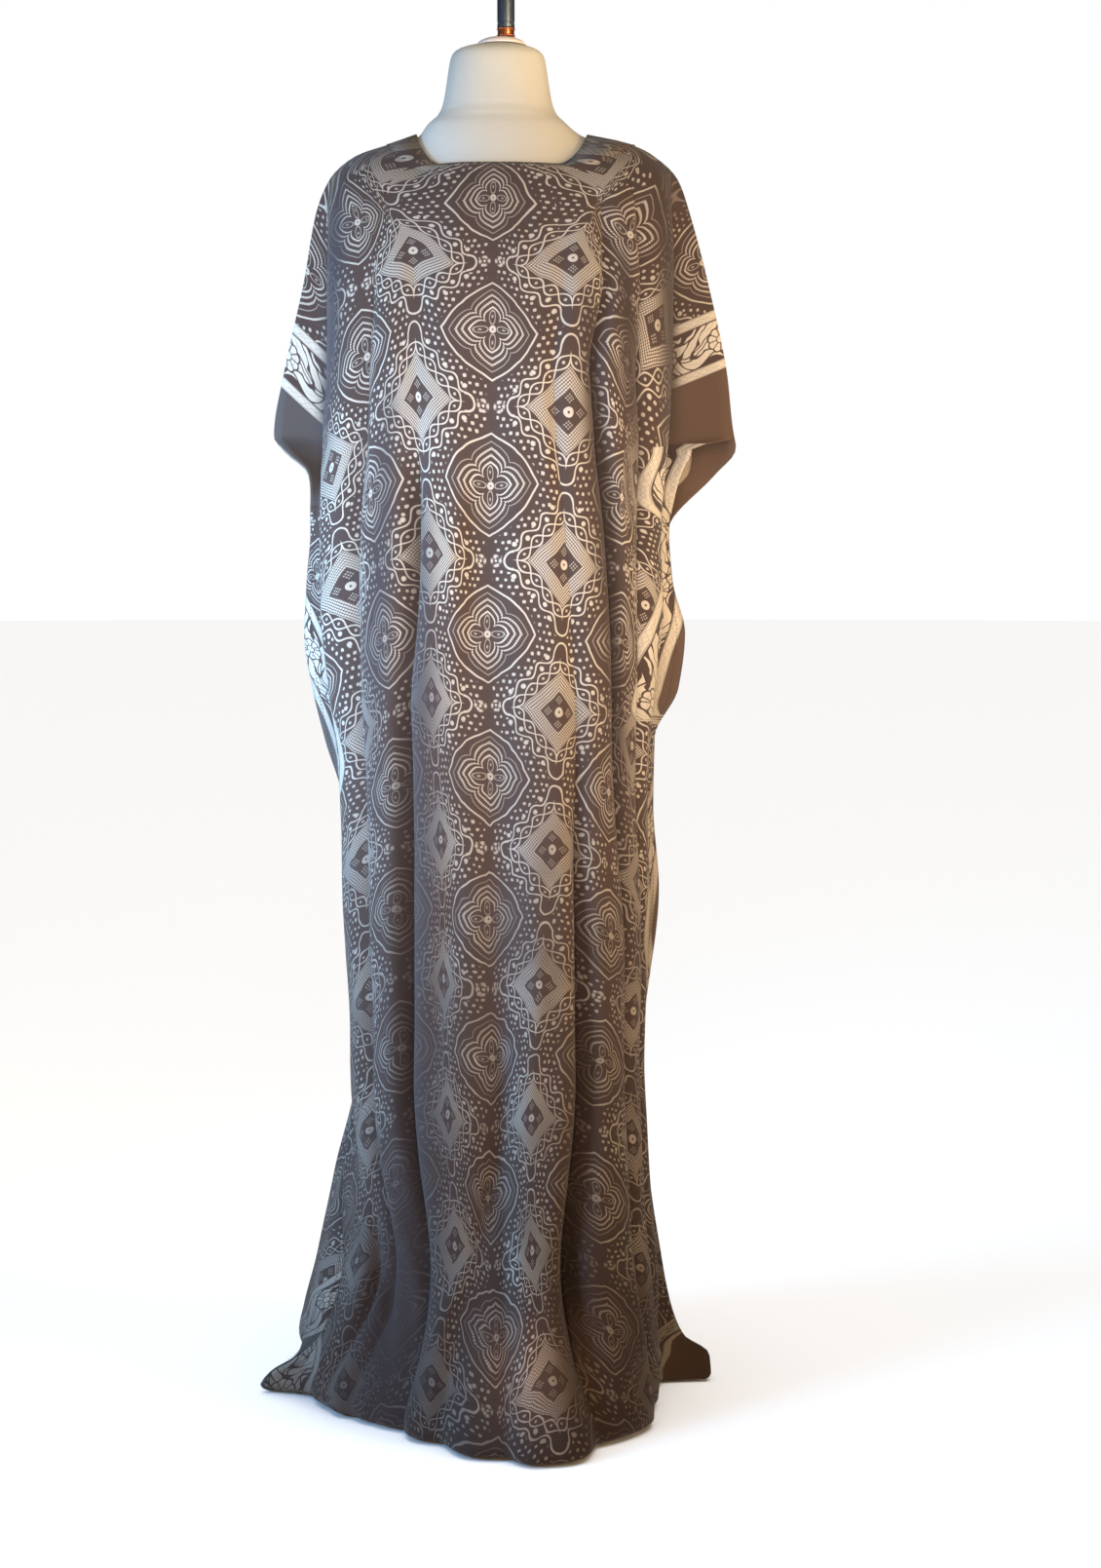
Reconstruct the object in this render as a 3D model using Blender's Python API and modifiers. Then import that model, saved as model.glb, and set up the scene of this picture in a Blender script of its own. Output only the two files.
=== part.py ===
"""A baati dress worn by a limbless dress form on a round stand.

The dress is two equal cloths, a front and a back, joined along the shoulders, down the
folded sleeve and along both side edges. Each cloth is a loft: rings worked out from the
sections below, with creases that run down them. Metres, +Z up, the front faces -Y.
"""

import math
from collections import namedtuple

import bmesh
import bpy
import numpy as np
from mathutils import Vector

# Driving sizes
CLOTH_WALL = 0.0022
SEAM_GAP = 0.0003
STAND_BASE_RADIUS = 0.140
STAND_BASE_THICKNESS = 0.008
STAND_POLE_RADIUS = 0.0125
FORM_BOTTOM = 0.800
COLUMNS_PER_FOLD = {"front_cloth": 3, "back_cloth": 4}
ENVELOPE_POWER = 2.3
TOP_DIP_STARTS = 0.50

# Sections of the dress from the neckline down. Heights at the side and at the middle of each
# cloth, then the plain body's half-widths and depths.
Section = namedtuple(
    "Section", "name rows side left right front_mid front_depth back_mid back_depth"
)
SECTIONS = [
    Section("neck", 1, 1.383, 0.087, 0.096, 1.350, 0.068, 1.376, 0.060),
    Section("yoke", 1, 1.373, 0.115, 0.143, 1.336, 0.083, 1.362, 0.076),
    Section("slope", 1, 1.360, 0.152, 0.168, 1.320, 0.094, 1.345, 0.088),
    Section("point", 1, 1.337, 0.179, 0.187, 1.298, 0.104, 1.321, 0.098),
    Section("cap", 1, 1.300, 0.188, 0.191, 1.268, 0.114, 1.288, 0.106),
    Section("chest", 2, 1.228, 0.189, 0.189, 1.205, 0.129, 1.218, 0.115),
    Section("band", 1, 1.134, 0.189, 0.186, 1.122, 0.137, 1.128, 0.119),
    Section("corner", 1, 1.060, 0.190, 0.183, 1.052, 0.139, 1.056, 0.120),
    Section("tip", 1, 1.047, 0.190, 0.182, 1.039, 0.139, 1.043, 0.120),
    Section("lip", 1, 1.022, 0.192, 0.181, 1.016, 0.140, 1.018, 0.121),
    Section("join", 1, 0.960, 0.195, 0.180, 0.958, 0.140, 0.958, 0.121),
    Section("waist", 1, 0.902, 0.196, 0.180, 0.902, 0.139, 0.902, 0.122),
    Section("swing", 1, 0.846, 0.193, 0.178, 0.846, 0.138, 0.846, 0.122),
    Section("hip", 1, 0.786, 0.187, 0.172, 0.786, 0.138, 0.786, 0.123),
    Section("fold", 1, 0.730, 0.180, 0.166, 0.730, 0.138, 0.730, 0.124),
    Section("thigh", 1, 0.655, 0.175, 0.162, 0.655, 0.139, 0.655, 0.126),
    Section("mid", 2, 0.560, 0.172, 0.163, 0.560, 0.142, 0.560, 0.129),
    Section("knee", 2, 0.385, 0.161, 0.157, 0.385, 0.148, 0.385, 0.136),
    Section("calf", 1, 0.235, 0.180, 0.166, 0.235, 0.162, 0.235, 0.148),
    Section("shin", 1, 0.150, 0.196, 0.175, 0.146, 0.180, 0.150, 0.160),
    Section("ankle", 1, 0.085, 0.216, 0.186, 0.080, 0.200, 0.084, 0.172),
    Section("flare", 1, 0.046, 0.227, 0.196, 0.044, 0.217, 0.046, 0.182),
    Section("brush", 1, 0.026, 0.225, 0.200, 0.022, 0.229, 0.024, 0.188),
    Section("floor", 1, 0.008, 0.224, 0.200, 0.008, 0.232, 0.008, 0.188),
    Section("under", 0, 0.0032, 0.212, 0.190, 0.0032, 0.222, 0.0032, 0.178),
]

# Where the two cloths meet at each side: how far out from the form's axis and how far round
# from the front, in degrees. The sleeve's opening parts them by the gape, also in degrees, and
# the front cloth's edge there is cut shorter than the back's.
Edge = namedtuple(
    "Edge", "name left_reach left_turn right_reach right_turn gape left_cut right_cut"
)
EDGES = [
    Edge("neck", 0.087, 90, 0.096, 90, 0, 0, 0),
    Edge("yoke", 0.115, 90, 0.144, 90, 0, 0, 0),
    Edge("slope", 0.153, 90, 0.170, 90, 0, 0, 0),
    Edge("point", 0.180, 90, 0.194, 90, 0, 0, 0),
    Edge("cap", 0.196, 90, 0.208, 90, 0, 0, 0),
    Edge("chest", 0.210, 90, 0.228, 90, 0, 0, 0),
    Edge("band", 0.232, 90, 0.249, 90, 0, 0, 0),
    Edge("corner", 0.245, 90, 0.259, 90, 1, 0.001, 0.002),
    Edge("tip", 0.240, 91, 0.266, 91, 7, 0.006, 0.054),
    Edge("lip", 0.216, 92, 0.247, 92, 9, 0.008, 0.046),
    Edge("join", 0.207, 95, 0.188, 95, 0, 0, 0),
    Edge("waist", 0.212, 95, 0.193, 96, 0, 0, 0),
    Edge("swing", 0.214, 93, 0.206, 94, 0, 0, 0),
    Edge("hip", 0.205, 92, 0.199, 94, 0, 0, 0),
    Edge("fold", 0.192, 93, 0.173, 96, 0, 0, 0),
    Edge("thigh", 0.173, 96, 0.173, 98, 0, 0, 0),
    Edge("mid", 0.171, 99, 0.179, 96, 0, 0, 0),
    Edge("knee", 0.160, 97, 0.162, 96, 0, 0, 0),
    Edge("calf", 0.176, 80, 0.170, 97, 0, 0, 0),
    Edge("shin", 0.191, 64, 0.182, 96, 0, 0, 0),
    Edge("ankle", 0.211, 67, 0.194, 95, 0, 0, 0),
    Edge("flare", 0.236, 76, 0.210, 94, 0, 0, 0),
    Edge("brush", 0.258, 81, 0.238, 92, 0, 0, 0),
    Edge("floor", 0.270, 83, 0.239, 89, 0, 0, 0),
    Edge("under", 0.262, 83, 0.232, 88, 0, 0, 0),
]

# Creases that run down each cloth, from its left edge to its right. Turn is how far round it
# lies from the cloth's middle, in degrees. Depth is how far it stands out of the plain body,
# in millimetres. Both are given at each level.
LEVELS = ("slope", "chest", "join", "fold", "knee", "shin", "floor")
Crease = namedtuple("Crease", "name turn depth")
FRONT_CREASES = [
    Crease("left_tuck", (-81, -78, -86, -84, -86, -57, -73), (0, -14, -8, -8, -18, -8, -12)),
    Crease("left_side", (-66, -62, -69, -70, -68, -52, -61), (0, 14, 8, 5, 7, -24, -21)),
    Crease("left_dip", (-57, -51, -60, -61, -59, -46, -52), (0, -5, -10, -7, -8, -34, -34)),
    Crease("left_mid", (-48, -43, -53, -53, -52, -40, -43), (0, 4, 4, 3, 3, -30, -40)),
    Crease("left_valley", (-38, -36, -46, -44, -45, -33, -33), (0, -3, -21, -28, -32, -24, -44)),
    Crease("left_swell", (-27, -25, -32, -30, -28, -20, -19), (0, 3, 6, 6, 8, 2, -22)),
    Crease("centre", (0, -2, -4, -2, 0, 1, 1), (0, 0, -3, -4, -9, -4, 6)),
    Crease("right_swell", (19, 19, 22, 24, 25, 16, 13), (0, 3, 5, 4, 8, 26, 40)),
    Crease("right_low", (27, 28, 33, 38, 45, 30, 30), (0, 1, 2, -3, -30, -16, 14)),
    Crease("right_mid", (34, 34, 42, 50, 54, 42, 41), (0, 4, 6, 5, 6, 12, 2)),
    Crease("right_valley", (40, 41, 52, 62, 63, 55, 53), (0, -6, -26, -26, -7, -10, -22)),
    Crease("right_ridge", (47, 48, 59, 69, 70, 63, 62), (0, 8, 6, 3, 4, 4, -18)),
    Crease("right_dip", (55, 55, 66, 75, 76, 70, 70), (0, -16, -10, -5, -5, -8, -32)),
    Crease("right_side", (67, 64, 75, 81, 81, 78, 77), (0, 13, 8, 4, 4, 2, -28)),
    Crease("right_tuck", (81, 78, 87, 88, 88, 87, 85), (0, -14, -8, -8, -14, -18, -18)),
]
BACK_CREASES = [
    Crease("left_tuck", (-81, -77, -78, -79, -76, -104, -86), (0, -14, -8, -8, -18, 6, -12)),
    Crease("left_side", (-66, -60, -62, -64, -60, -80, -68), (0, 13, 8, 5, 9, 8, 4)),
    Crease("left_valley", (-46, -42, -46, -48, -45, -50, -46), (0, -6, -18, -24, -34, -26, -20)),
    Crease("left_swell", (-28, -25, -28, -29, -27, -27, -27), (0, 3, 5, 7, 9, 9, 10)),
    Crease("centre", (-2, 2, 5, 4, 2, 0, 0), (0, -3, -12, -18, -28, -22, -14)),
    Crease("right_swell", (28, 27, 30, 31, 28, 27, 27), (0, 3, 6, 7, 10, 11, 12)),
    Crease("right_valley", (46, 44, 48, 49, 47, 46, 45), (0, -5, -20, -26, -36, -30, -22)),
    Crease("right_side", (66, 60, 64, 65, 62, 62, 62), (0, 13, 8, 5, 9, 7, 5)),
    Crease("right_tuck", (81, 77, 79, 80, 77, 77, 79), (0, -14, -8, -8, -18, -20, -16)),
]

# The dress form below the shoulders: height, half-width, front depth, back depth
FormSection = namedtuple("FormSection", "height half_width front back")
FORM_SECTIONS = [
    FormSection(FORM_BOTTOM, 0.134, 0.092, 0.090),
    FormSection(0.840, 0.142, 0.099, 0.099),
    FormSection(0.900, 0.138, 0.096, 0.098),
    FormSection(0.970, 0.121, 0.088, 0.085),
    FormSection(1.030, 0.114, 0.086, 0.080),
    FormSection(1.100, 0.129, 0.102, 0.086),
    FormSection(1.165, 0.146, 0.113, 0.096),
    FormSection(1.215, 0.155, 0.107, 0.101),
]
# The neck above the dress: height, half-width, front depth, back depth
NECK_SECTIONS = [
    FormSection(1.3925, 0.077, 0.058, 0.057),
    FormSection(1.4000, 0.068, 0.054, 0.055),
    FormSection(1.4135, 0.060, 0.051, 0.053),
    FormSection(1.4350, 0.0555, 0.048, 0.051),
    FormSection(1.4540, 0.0527, 0.046, 0.049),
    FormSection(1.4660, 0.0500, 0.0435, 0.0465),
    FormSection(1.4715, 0.0455, 0.039, 0.042),
    FormSection(1.4755, 0.0360, 0.031, 0.034),
    FormSection(1.4780, 0.0250, 0.022, 0.024),
]
FORM_SIDES = 36
# How far inside the plain dress the form lies where it carries the cloth
SHOULDER_MARGINS = {"neck": 0.0009, "yoke": 0.0009, "slope": 0.0010, "point": 0.0035, "cap": 0.014}

# The pieces above the neck stand a little to the right of its middle
CAP_RADIUS = 0.0270
CAP_HEIGHT = 0.0095
RING_RADIUS = 0.0100
RING_HEIGHT = 0.0088
ROD_RADIUS = 0.0094
ROD_TOP = 1.548
ROD_OFFSET = 0.009
CAP_OFFSET = 0.004

# Colours of the parts, as plain solids
COLOURS = {
    "cloth": ((0.16, 0.11, 0.09, 1), 0.8, 0.0),
    "form_cover": ((0.80, 0.77, 0.70, 1), 0.75, 0.0),
    "white_cap": ((0.85, 0.80, 0.78, 1), 0.5, 0.0),
    "copper": ((0.72, 0.33, 0.18, 1), 0.35, 1.0),
    "grey_metal": ((0.11, 0.12, 0.14, 1), 0.4, 0.8),
}


def clear_scene():
    for obj in list(bpy.data.objects):
        bpy.data.objects.remove(obj)


def make_material(name):
    colour, roughness, metallic = COLOURS[name]
    material = bpy.data.materials.new(name)
    material.use_nodes = True
    shader = material.node_tree.nodes["Principled BSDF"]
    shader.inputs["Base Color"].default_value = colour
    shader.inputs["Roughness"].default_value = roughness
    shader.inputs["Metallic"].default_value = metallic
    return material


def smooth_curve(knots, values, x):
    """A curve through the values that never overshoots them (monotone cubic)."""
    knots, values = np.asarray(knots, float), np.asarray(values, float)
    gaps = np.diff(knots)
    slopes = np.diff(values) / gaps
    tangents = np.zeros(len(knots))
    for i in range(1, len(knots) - 1):
        before, after = slopes[i - 1], slopes[i]
        if before * after > 0:
            tangents[i] = 2 * before * after / (before + after)
    tangents[0], tangents[-1] = slopes[0], slopes[-1]
    i = int(np.clip(np.searchsorted(knots, x) - 1, 0, len(gaps) - 1))
    t = (x - knots[i]) / gaps[i]
    return (
        (1 + 2 * t) * (1 - t) ** 2 * values[i]
        + t * (1 - t) ** 2 * gaps[i] * tangents[i]
        + t * t * (3 - 2 * t) * values[i + 1]
        + t * t * (t - 1) * gaps[i] * tangents[i + 1]
    )


def runs():
    """Distance down the front of the dress to each section."""
    found = [0.0]
    for above, below in zip(SECTIONS, SECTIONS[1:]):
        drop = above.front_mid - below.front_mid
        out = below.front_depth - above.front_depth
        found.append(found[-1] + math.hypot(drop, out))
    return found


RUNS = runs()
RUN_OF = {section.name: run for section, run in zip(SECTIONS, RUNS)}
LEVEL_RUNS = [RUN_OF[name] for name in LEVELS]


def section_at(run):
    """Every column of the section table at this distance down the dress."""
    columns = Section._fields[2:]
    read = [smooth_curve(RUNS, [getattr(s, c) for s in SECTIONS], run) for c in columns]
    return dict(zip(columns, read))


def edge_at(run):
    columns = Edge._fields[1:]
    read = [smooth_curve(RUNS, [getattr(e, c) for e in EDGES], run) for c in columns]
    return dict(zip(columns, read))


def plain_radius(section, turn):
    """The plain body's radius at an angle from the front, positive towards the right."""
    side = section["right"] if turn > 0 else section["left"]
    ahead = abs(turn) <= math.pi / 2
    depth = section["front_depth"] if ahead else section["back_depth"]
    across = (abs(math.sin(turn)) / side) ** ENVELOPE_POWER
    along = (abs(math.cos(turn)) / depth) ** ENVELOPE_POWER
    return (across + along) ** (-1 / ENVELOPE_POWER)


def side_share(share):
    """How much of the side's height a point takes: the neckline dips only between its ends."""
    t = min(1.0, max(0.0, (abs(share) - TOP_DIP_STARTS) / (1 - TOP_DIP_STARTS)))
    return t * t * (3 - 2 * t)


def crease_marks(creases, run):
    """(turn, depth) of each crease at this distance down, in radians and metres."""
    at = min(max(run, LEVEL_RUNS[0]), LEVEL_RUNS[-1])
    marks = []
    for crease in creases:
        turn = math.radians(smooth_curve(LEVEL_RUNS, crease.turn, at))
        marks.append((turn, smooth_curve(LEVEL_RUNS, crease.depth, at) / 1000))
    return marks


def cloth_ring(run, back):
    """Points of one ring of a cloth, from its left edge to its right, on its inner face."""
    section, edge = section_at(run), edge_at(run)
    marks = crease_marks(BACK_CREASES if back else FRONT_CREASES, run)
    reach, limit = {}, {}
    for side in ("left", "right"):
        turn = math.radians(edge[side + "_turn"])
        limit[side] = math.pi - turn if back else turn
        reach[side] = edge[side + "_reach"] - (0 if back else edge[side + "_cut"])
    middle = section["back_mid"] if back else section["front_mid"]

    def point(turn, depth, at_edge):
        side = "right" if turn > 0 else "left"
        share = abs(turn) / limit[side]
        turn -= math.copysign(math.radians(edge["gape"]) * at_edge, turn)
        if back:
            turn = math.copysign(math.pi - abs(turn), turn)
        radius = plain_radius(section, turn) * (1 - at_edge)
        radius += reach[side] * at_edge + depth * (1 - at_edge)
        height = middle + (section["side"] - middle) * side_share(share)
        spot = Vector((radius * math.sin(turn), -radius * math.cos(turn), height))
        apart = SEAM_GAP / 2 if back else -SEAM_GAP / 2
        return spot + across_seam(run, side) * apart * at_edge

    stations = [(-limit["left"], 0.0)] + marks + [(limit["right"], 0.0)]
    steps = COLUMNS_PER_FOLD["back_cloth" if back else "front_cloth"]
    ring = []
    for i, (start, end) in enumerate(zip(stations, stations[1:])):
        for step in range(steps):
            t = step / steps
            turn = start[0] + (end[0] - start[0]) * t
            if i == 0:
                ring.append(point(turn, end[1], (1 - t) ** 2))
            elif i == len(stations) - 2:
                ring.append(point(turn, start[1], t * t))
            else:
                ease = (1 - math.cos(math.pi * t)) / 2
                ring.append(point(turn, start[1] + (end[1] - start[1]) * ease, 0.0))
    ring.append(point(limit["right"], 0.0, 1.0))
    return ring


def row_runs():
    """Where the rows of the cloth grid lie, as distances down the dress."""
    found = []
    for section, start, end in zip(SECTIONS, RUNS, RUNS[1:]):
        found += [start + (end - start) * i / section.rows for i in range(section.rows)]
    return found + [RUNS[-1]]


def finish_object(obj, material, collection, angle=40):
    obj.data.materials.append(material)
    obj.data.shade_smooth()
    obj.data.set_sharp_from_angle(angle=math.radians(angle))
    collection.objects.link(obj)
    return obj


def across_seam(run, side):
    """The level direction in which the front cloth meets the back one at a side edge."""
    turn = math.radians(edge_at(run)[side + "_turn"])
    way = 1 if side == "right" else -1
    return Vector((way * math.cos(turn), math.sin(turn), 0.0))


def cloth_panel(name, back, material, collection):
    """One cloth: a flat grid bent onto its rings, then given its wall on the outer side. The
    wall's side edges keep clear of the other cloth's."""
    levels = row_runs()
    rings = [cloth_ring(run, back) for run in levels]
    rows, columns = len(rings), len(rings[0])
    grid = bmesh.new()
    outward = grid.verts.layers.float_vector.new("outward")
    bmesh.ops.create_grid(grid, x_segments=columns - 1, y_segments=rows - 1, size=0.5)
    place = {}
    for vert in grid.verts:
        column = round((vert.co.x + 0.5) * (columns - 1))
        row = round((0.5 - vert.co.y) * (rows - 1))
        place[vert] = (row, column)
    for vert, (row, column) in place.items():
        vert.co = rings[row][column]
    if back:
        bmesh.ops.reverse_faces(grid, faces=grid.faces)
    grid.normal_update()
    sides = {0: "left", columns - 1: "right"}
    for vert, (row, column) in place.items():
        lift = vert.normal.copy()
        if column in sides:
            towards = across_seam(levels[row], sides[column]) * (-1 if back else 1)
            lift -= towards * max(0.0, lift.dot(towards))
            lift.normalize()
        vert[outward] = lift
    made = bmesh.ops.extrude_face_region(grid, geom=grid.faces[:], use_keep_orig=True)
    for vert in made["geom"]:
        if isinstance(vert, bmesh.types.BMVert):
            vert.co += vert[outward] * CLOTH_WALL
    bmesh.ops.recalc_face_normals(grid, faces=grid.faces)
    mesh = bpy.data.meshes.new(name)
    grid.to_mesh(mesh)
    grid.free()
    return finish_object(bpy.data.objects.new(name, mesh), material, collection)


def form_ring(half_width, front, back, heights):
    """A closed ring of the dress form. Heights are a number, or one for each angle."""
    section = {
        "left": half_width[0],
        "right": half_width[1],
        "front_depth": front,
        "back_depth": back,
    }
    ring = []
    for i in range(FORM_SIDES):
        turn = math.pi * (2 * i / FORM_SIDES - 1)
        radius = plain_radius(section, turn)
        height = heights(turn) if callable(heights) else heights
        ring.append(Vector((radius * math.sin(turn), -radius * math.cos(turn), height)))
    return ring


def shoulder_ring(name):
    """The form just inside the dress where it carries the cloth."""
    section = next(s for s in SECTIONS if s.name == name)
    margin = SHOULDER_MARGINS[name]

    def height(turn):
        ahead = abs(turn) <= math.pi / 2
        share = abs(turn) / (math.pi / 2) if ahead else 2 - abs(turn) / (math.pi / 2)
        middle = section.front_mid if ahead else section.back_mid
        return middle + (section.side - middle) * side_share(share) - margin

    widths = (section.left - margin, section.right - margin)
    return form_ring(widths, section.front_depth - margin, section.back_depth - margin, height)


def dress_form(material, collection):
    """The torso and neck in one smooth body, without limbs."""
    rings = []
    for part in FORM_SECTIONS:
        rings.append(form_ring((part.half_width,) * 2, part.front, part.back, part.height))
    rings += [shoulder_ring(name) for name in reversed(SHOULDER_MARGINS)]
    for part in NECK_SECTIONS:
        rings.append(form_ring((part.half_width,) * 2, part.front, part.back, part.height))
    mesh = bpy.data.meshes.new("form_torso")
    body = bmesh.new()
    loops = [[body.verts.new(point) for point in ring] for ring in rings]
    for lower, upper in zip(loops, loops[1:]):
        for i in range(FORM_SIDES):
            j = (i + 1) % FORM_SIDES
            body.faces.new((lower[i], lower[j], upper[j], upper[i]))
    body.faces.new(reversed(loops[0]))
    body.faces.new(loops[-1])
    body.to_mesh(mesh)
    body.free()
    return finish_object(bpy.data.objects.new("form_torso", mesh), material, collection, 50)


def turned(name, profile, material, collection, steps=28, offset=0.0):
    """A turned piece: its profile runs down the outer side, from the top to the bottom."""
    mesh = bpy.data.meshes.new(name)
    line = bmesh.new()
    points = [line.verts.new((radius, 0, height)) for radius, height in profile]
    for above, below in zip(points, points[1:]):
        line.edges.new((above, below))
    line.to_mesh(mesh)
    line.free()
    obj = bpy.data.objects.new(name, mesh)
    obj.location.x = offset
    screw = obj.modifiers.new("turn", "SCREW")
    screw.steps = screw.render_steps = steps
    screw.use_merge_vertices = True
    screw.merge_threshold = 0.00001
    return finish_object(obj, material, collection, 40)


def neck_pieces(materials, collection):
    """The white cap on the neck, the copper ring and the grey rod above."""
    foot = NECK_SECTIONS[-1].height + SEAM_GAP
    cap = [(0, foot + CAP_HEIGHT)]
    for i in range(1, 6):
        part = math.radians(18 * i)
        cap.append((CAP_RADIUS * math.sin(part), foot + CAP_HEIGHT * math.cos(part)))
    cap.append((0, foot))
    turned("neck_cap", cap, materials["white_cap"], collection, 36, CAP_OFFSET)
    foot += CAP_HEIGHT + SEAM_GAP
    edge = 0.001
    ring = [(0, foot + RING_HEIGHT), (RING_RADIUS - edge, foot + RING_HEIGHT)]
    ring += [(RING_RADIUS, foot + RING_HEIGHT - edge), (RING_RADIUS, foot + edge)]
    ring += [(RING_RADIUS - edge, foot), (0, foot)]
    turned("copper_ring", ring, materials["copper"], collection, 28, ROD_OFFSET)
    foot += RING_HEIGHT + SEAM_GAP
    rod = [(0, ROD_TOP), (ROD_RADIUS * 0.6, ROD_TOP - 0.0012), (ROD_RADIUS, ROD_TOP - 0.005)]
    rod += [(ROD_RADIUS, foot), (0, foot)]
    turned("top_rod", rod, materials["grey_metal"], collection, 28, ROD_OFFSET)


def stand(material, collection):
    """The round base, the pole and the socket that carries the form."""
    foot = STAND_BASE_THICKNESS
    base = [(0, foot + 0.006), (STAND_POLE_RADIUS + 0.012, foot + 0.006)]
    base += [(STAND_POLE_RADIUS + 0.026, foot + 0.001), (STAND_BASE_RADIUS - 0.004, foot)]
    base += [(STAND_BASE_RADIUS, foot - 0.004), (STAND_BASE_RADIUS, 0), (0, 0)]
    turned("stand_base", base, material, collection, 40)
    plate_foot = FORM_BOTTOM - SEAM_GAP - 0.006
    plate = [(0, plate_foot + 0.006), (0.048, plate_foot + 0.006), (0.048, plate_foot)]
    plate += [(0.020, plate_foot), (0.020, plate_foot - 0.040), (0, plate_foot - 0.040)]
    turned("stand_socket", plate, material, collection)
    low, high = foot + 0.006 + SEAM_GAP, plate_foot - 0.040 - SEAM_GAP
    pole = [(0, high), (STAND_POLE_RADIUS, high), (STAND_POLE_RADIUS, low), (0, low)]
    turned("stand_pole", pole, material, collection)


def main():
    clear_scene()
    collection = bpy.data.collections.new("baati_dress_on_form")
    bpy.context.scene.collection.children.link(collection)
    materials = {name: make_material(name) for name in COLOURS}
    cloth_panel("front_cloth", False, materials["cloth"], collection)
    cloth_panel("back_cloth", True, materials["cloth"], collection)
    dress_form(materials["form_cover"], collection)
    neck_pieces(materials, collection)
    stand(materials["grey_metal"], collection)


main()
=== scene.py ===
"""A baati dress of printed cotton on a limbless dress form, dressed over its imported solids.

Metres, +Z up, the dress's front faces -Y and +X is to the right seen from the front.
"""

import logging
import math
from dataclasses import dataclass, field
from enum import Enum
from typing import Callable, Iterable, NamedTuple, Sequence

import bmesh
import bpy
import numpy as np
from bmesh.types import BMesh, BMVert
from bpy.types import Material, Object, World
from mathutils import Matrix, Vector, noise

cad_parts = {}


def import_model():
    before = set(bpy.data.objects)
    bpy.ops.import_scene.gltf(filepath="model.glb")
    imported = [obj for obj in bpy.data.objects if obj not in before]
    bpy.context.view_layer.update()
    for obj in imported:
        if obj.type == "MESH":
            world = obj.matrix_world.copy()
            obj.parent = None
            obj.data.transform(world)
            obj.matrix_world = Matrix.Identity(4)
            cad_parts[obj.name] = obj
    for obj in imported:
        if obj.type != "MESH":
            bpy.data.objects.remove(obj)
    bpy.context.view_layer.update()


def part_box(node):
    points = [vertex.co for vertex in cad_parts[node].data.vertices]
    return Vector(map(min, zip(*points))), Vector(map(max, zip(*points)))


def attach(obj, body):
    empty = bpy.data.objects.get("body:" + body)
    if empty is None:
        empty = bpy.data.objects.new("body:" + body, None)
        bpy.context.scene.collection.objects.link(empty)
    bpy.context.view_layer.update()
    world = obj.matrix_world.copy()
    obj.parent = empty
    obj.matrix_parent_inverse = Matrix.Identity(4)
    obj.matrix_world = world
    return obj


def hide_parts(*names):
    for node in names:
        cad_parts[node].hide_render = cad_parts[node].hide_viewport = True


LOG = logging.getLogger("baati")
MILLI = 0.001


class Side(Enum):
    """A side of the dress, seen from the front, and its sign along X."""

    LEFT = -1
    RIGHT = 1


class Panel(Enum):
    """One of the two cloths, with the sign of its Y."""

    FRONT = -1
    BACK = 1


class Section(NamedTuple):
    """A ring of the dress in metres, and how its two cloths meet, with turns in degrees."""

    name: str
    side: float
    left: float
    right: float
    front_mid: float
    front_depth: float
    back_mid: float
    back_depth: float
    left_reach: float
    left_turn: float
    right_reach: float
    right_turn: float
    gape: float
    left_cut: float
    right_cut: float


class Crease(NamedTuple):
    """A long crease: its turn in degrees and its depth in millimetres at each level."""

    name: str
    turn: Sequence[float]
    depth: Sequence[float]


class Ripple(NamedTuple):
    """A short soft fold: where it runs, in degrees and metres, and its size in millimetres."""

    name: str
    top_turn: float
    low_turn: float
    high: float
    low: float
    width: float
    depth: float


class Mark(NamedTuple):
    """Where one motif of the print lies on the cloth."""

    row: float
    turn: float
    run: float


class Overhang(NamedTuple):
    """How far the cloth on one side of a valley hangs over it, in degrees."""

    panel: Panel
    valley: str
    side: Side
    turn: float


def table(kind: type, text: str) -> tuple:
    """Reads rows of a name and numbers, or of numbers with commas between.

    Args:
        kind: what each row describes.
        text: the rows, one a line, in the order of the kind's fields.

    Returns:
        The rows.
    """
    found = []
    for line in text.strip().splitlines():
        name, *cells = line.split()
        lists = [[float(number) for number in cell.split(",")] for cell in cells]
        found.append(kind(name, *(cell if len(cell) > 1 else cell[0] for cell in lists)))
    return tuple(found)


def numbers(text: str) -> list[tuple[float, ...]]:
    """Reads rows of numbers, with spaces between the rows and commas between the numbers."""
    return [tuple(float(number) for number in row.split(",")) for row in text.split()]


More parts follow.
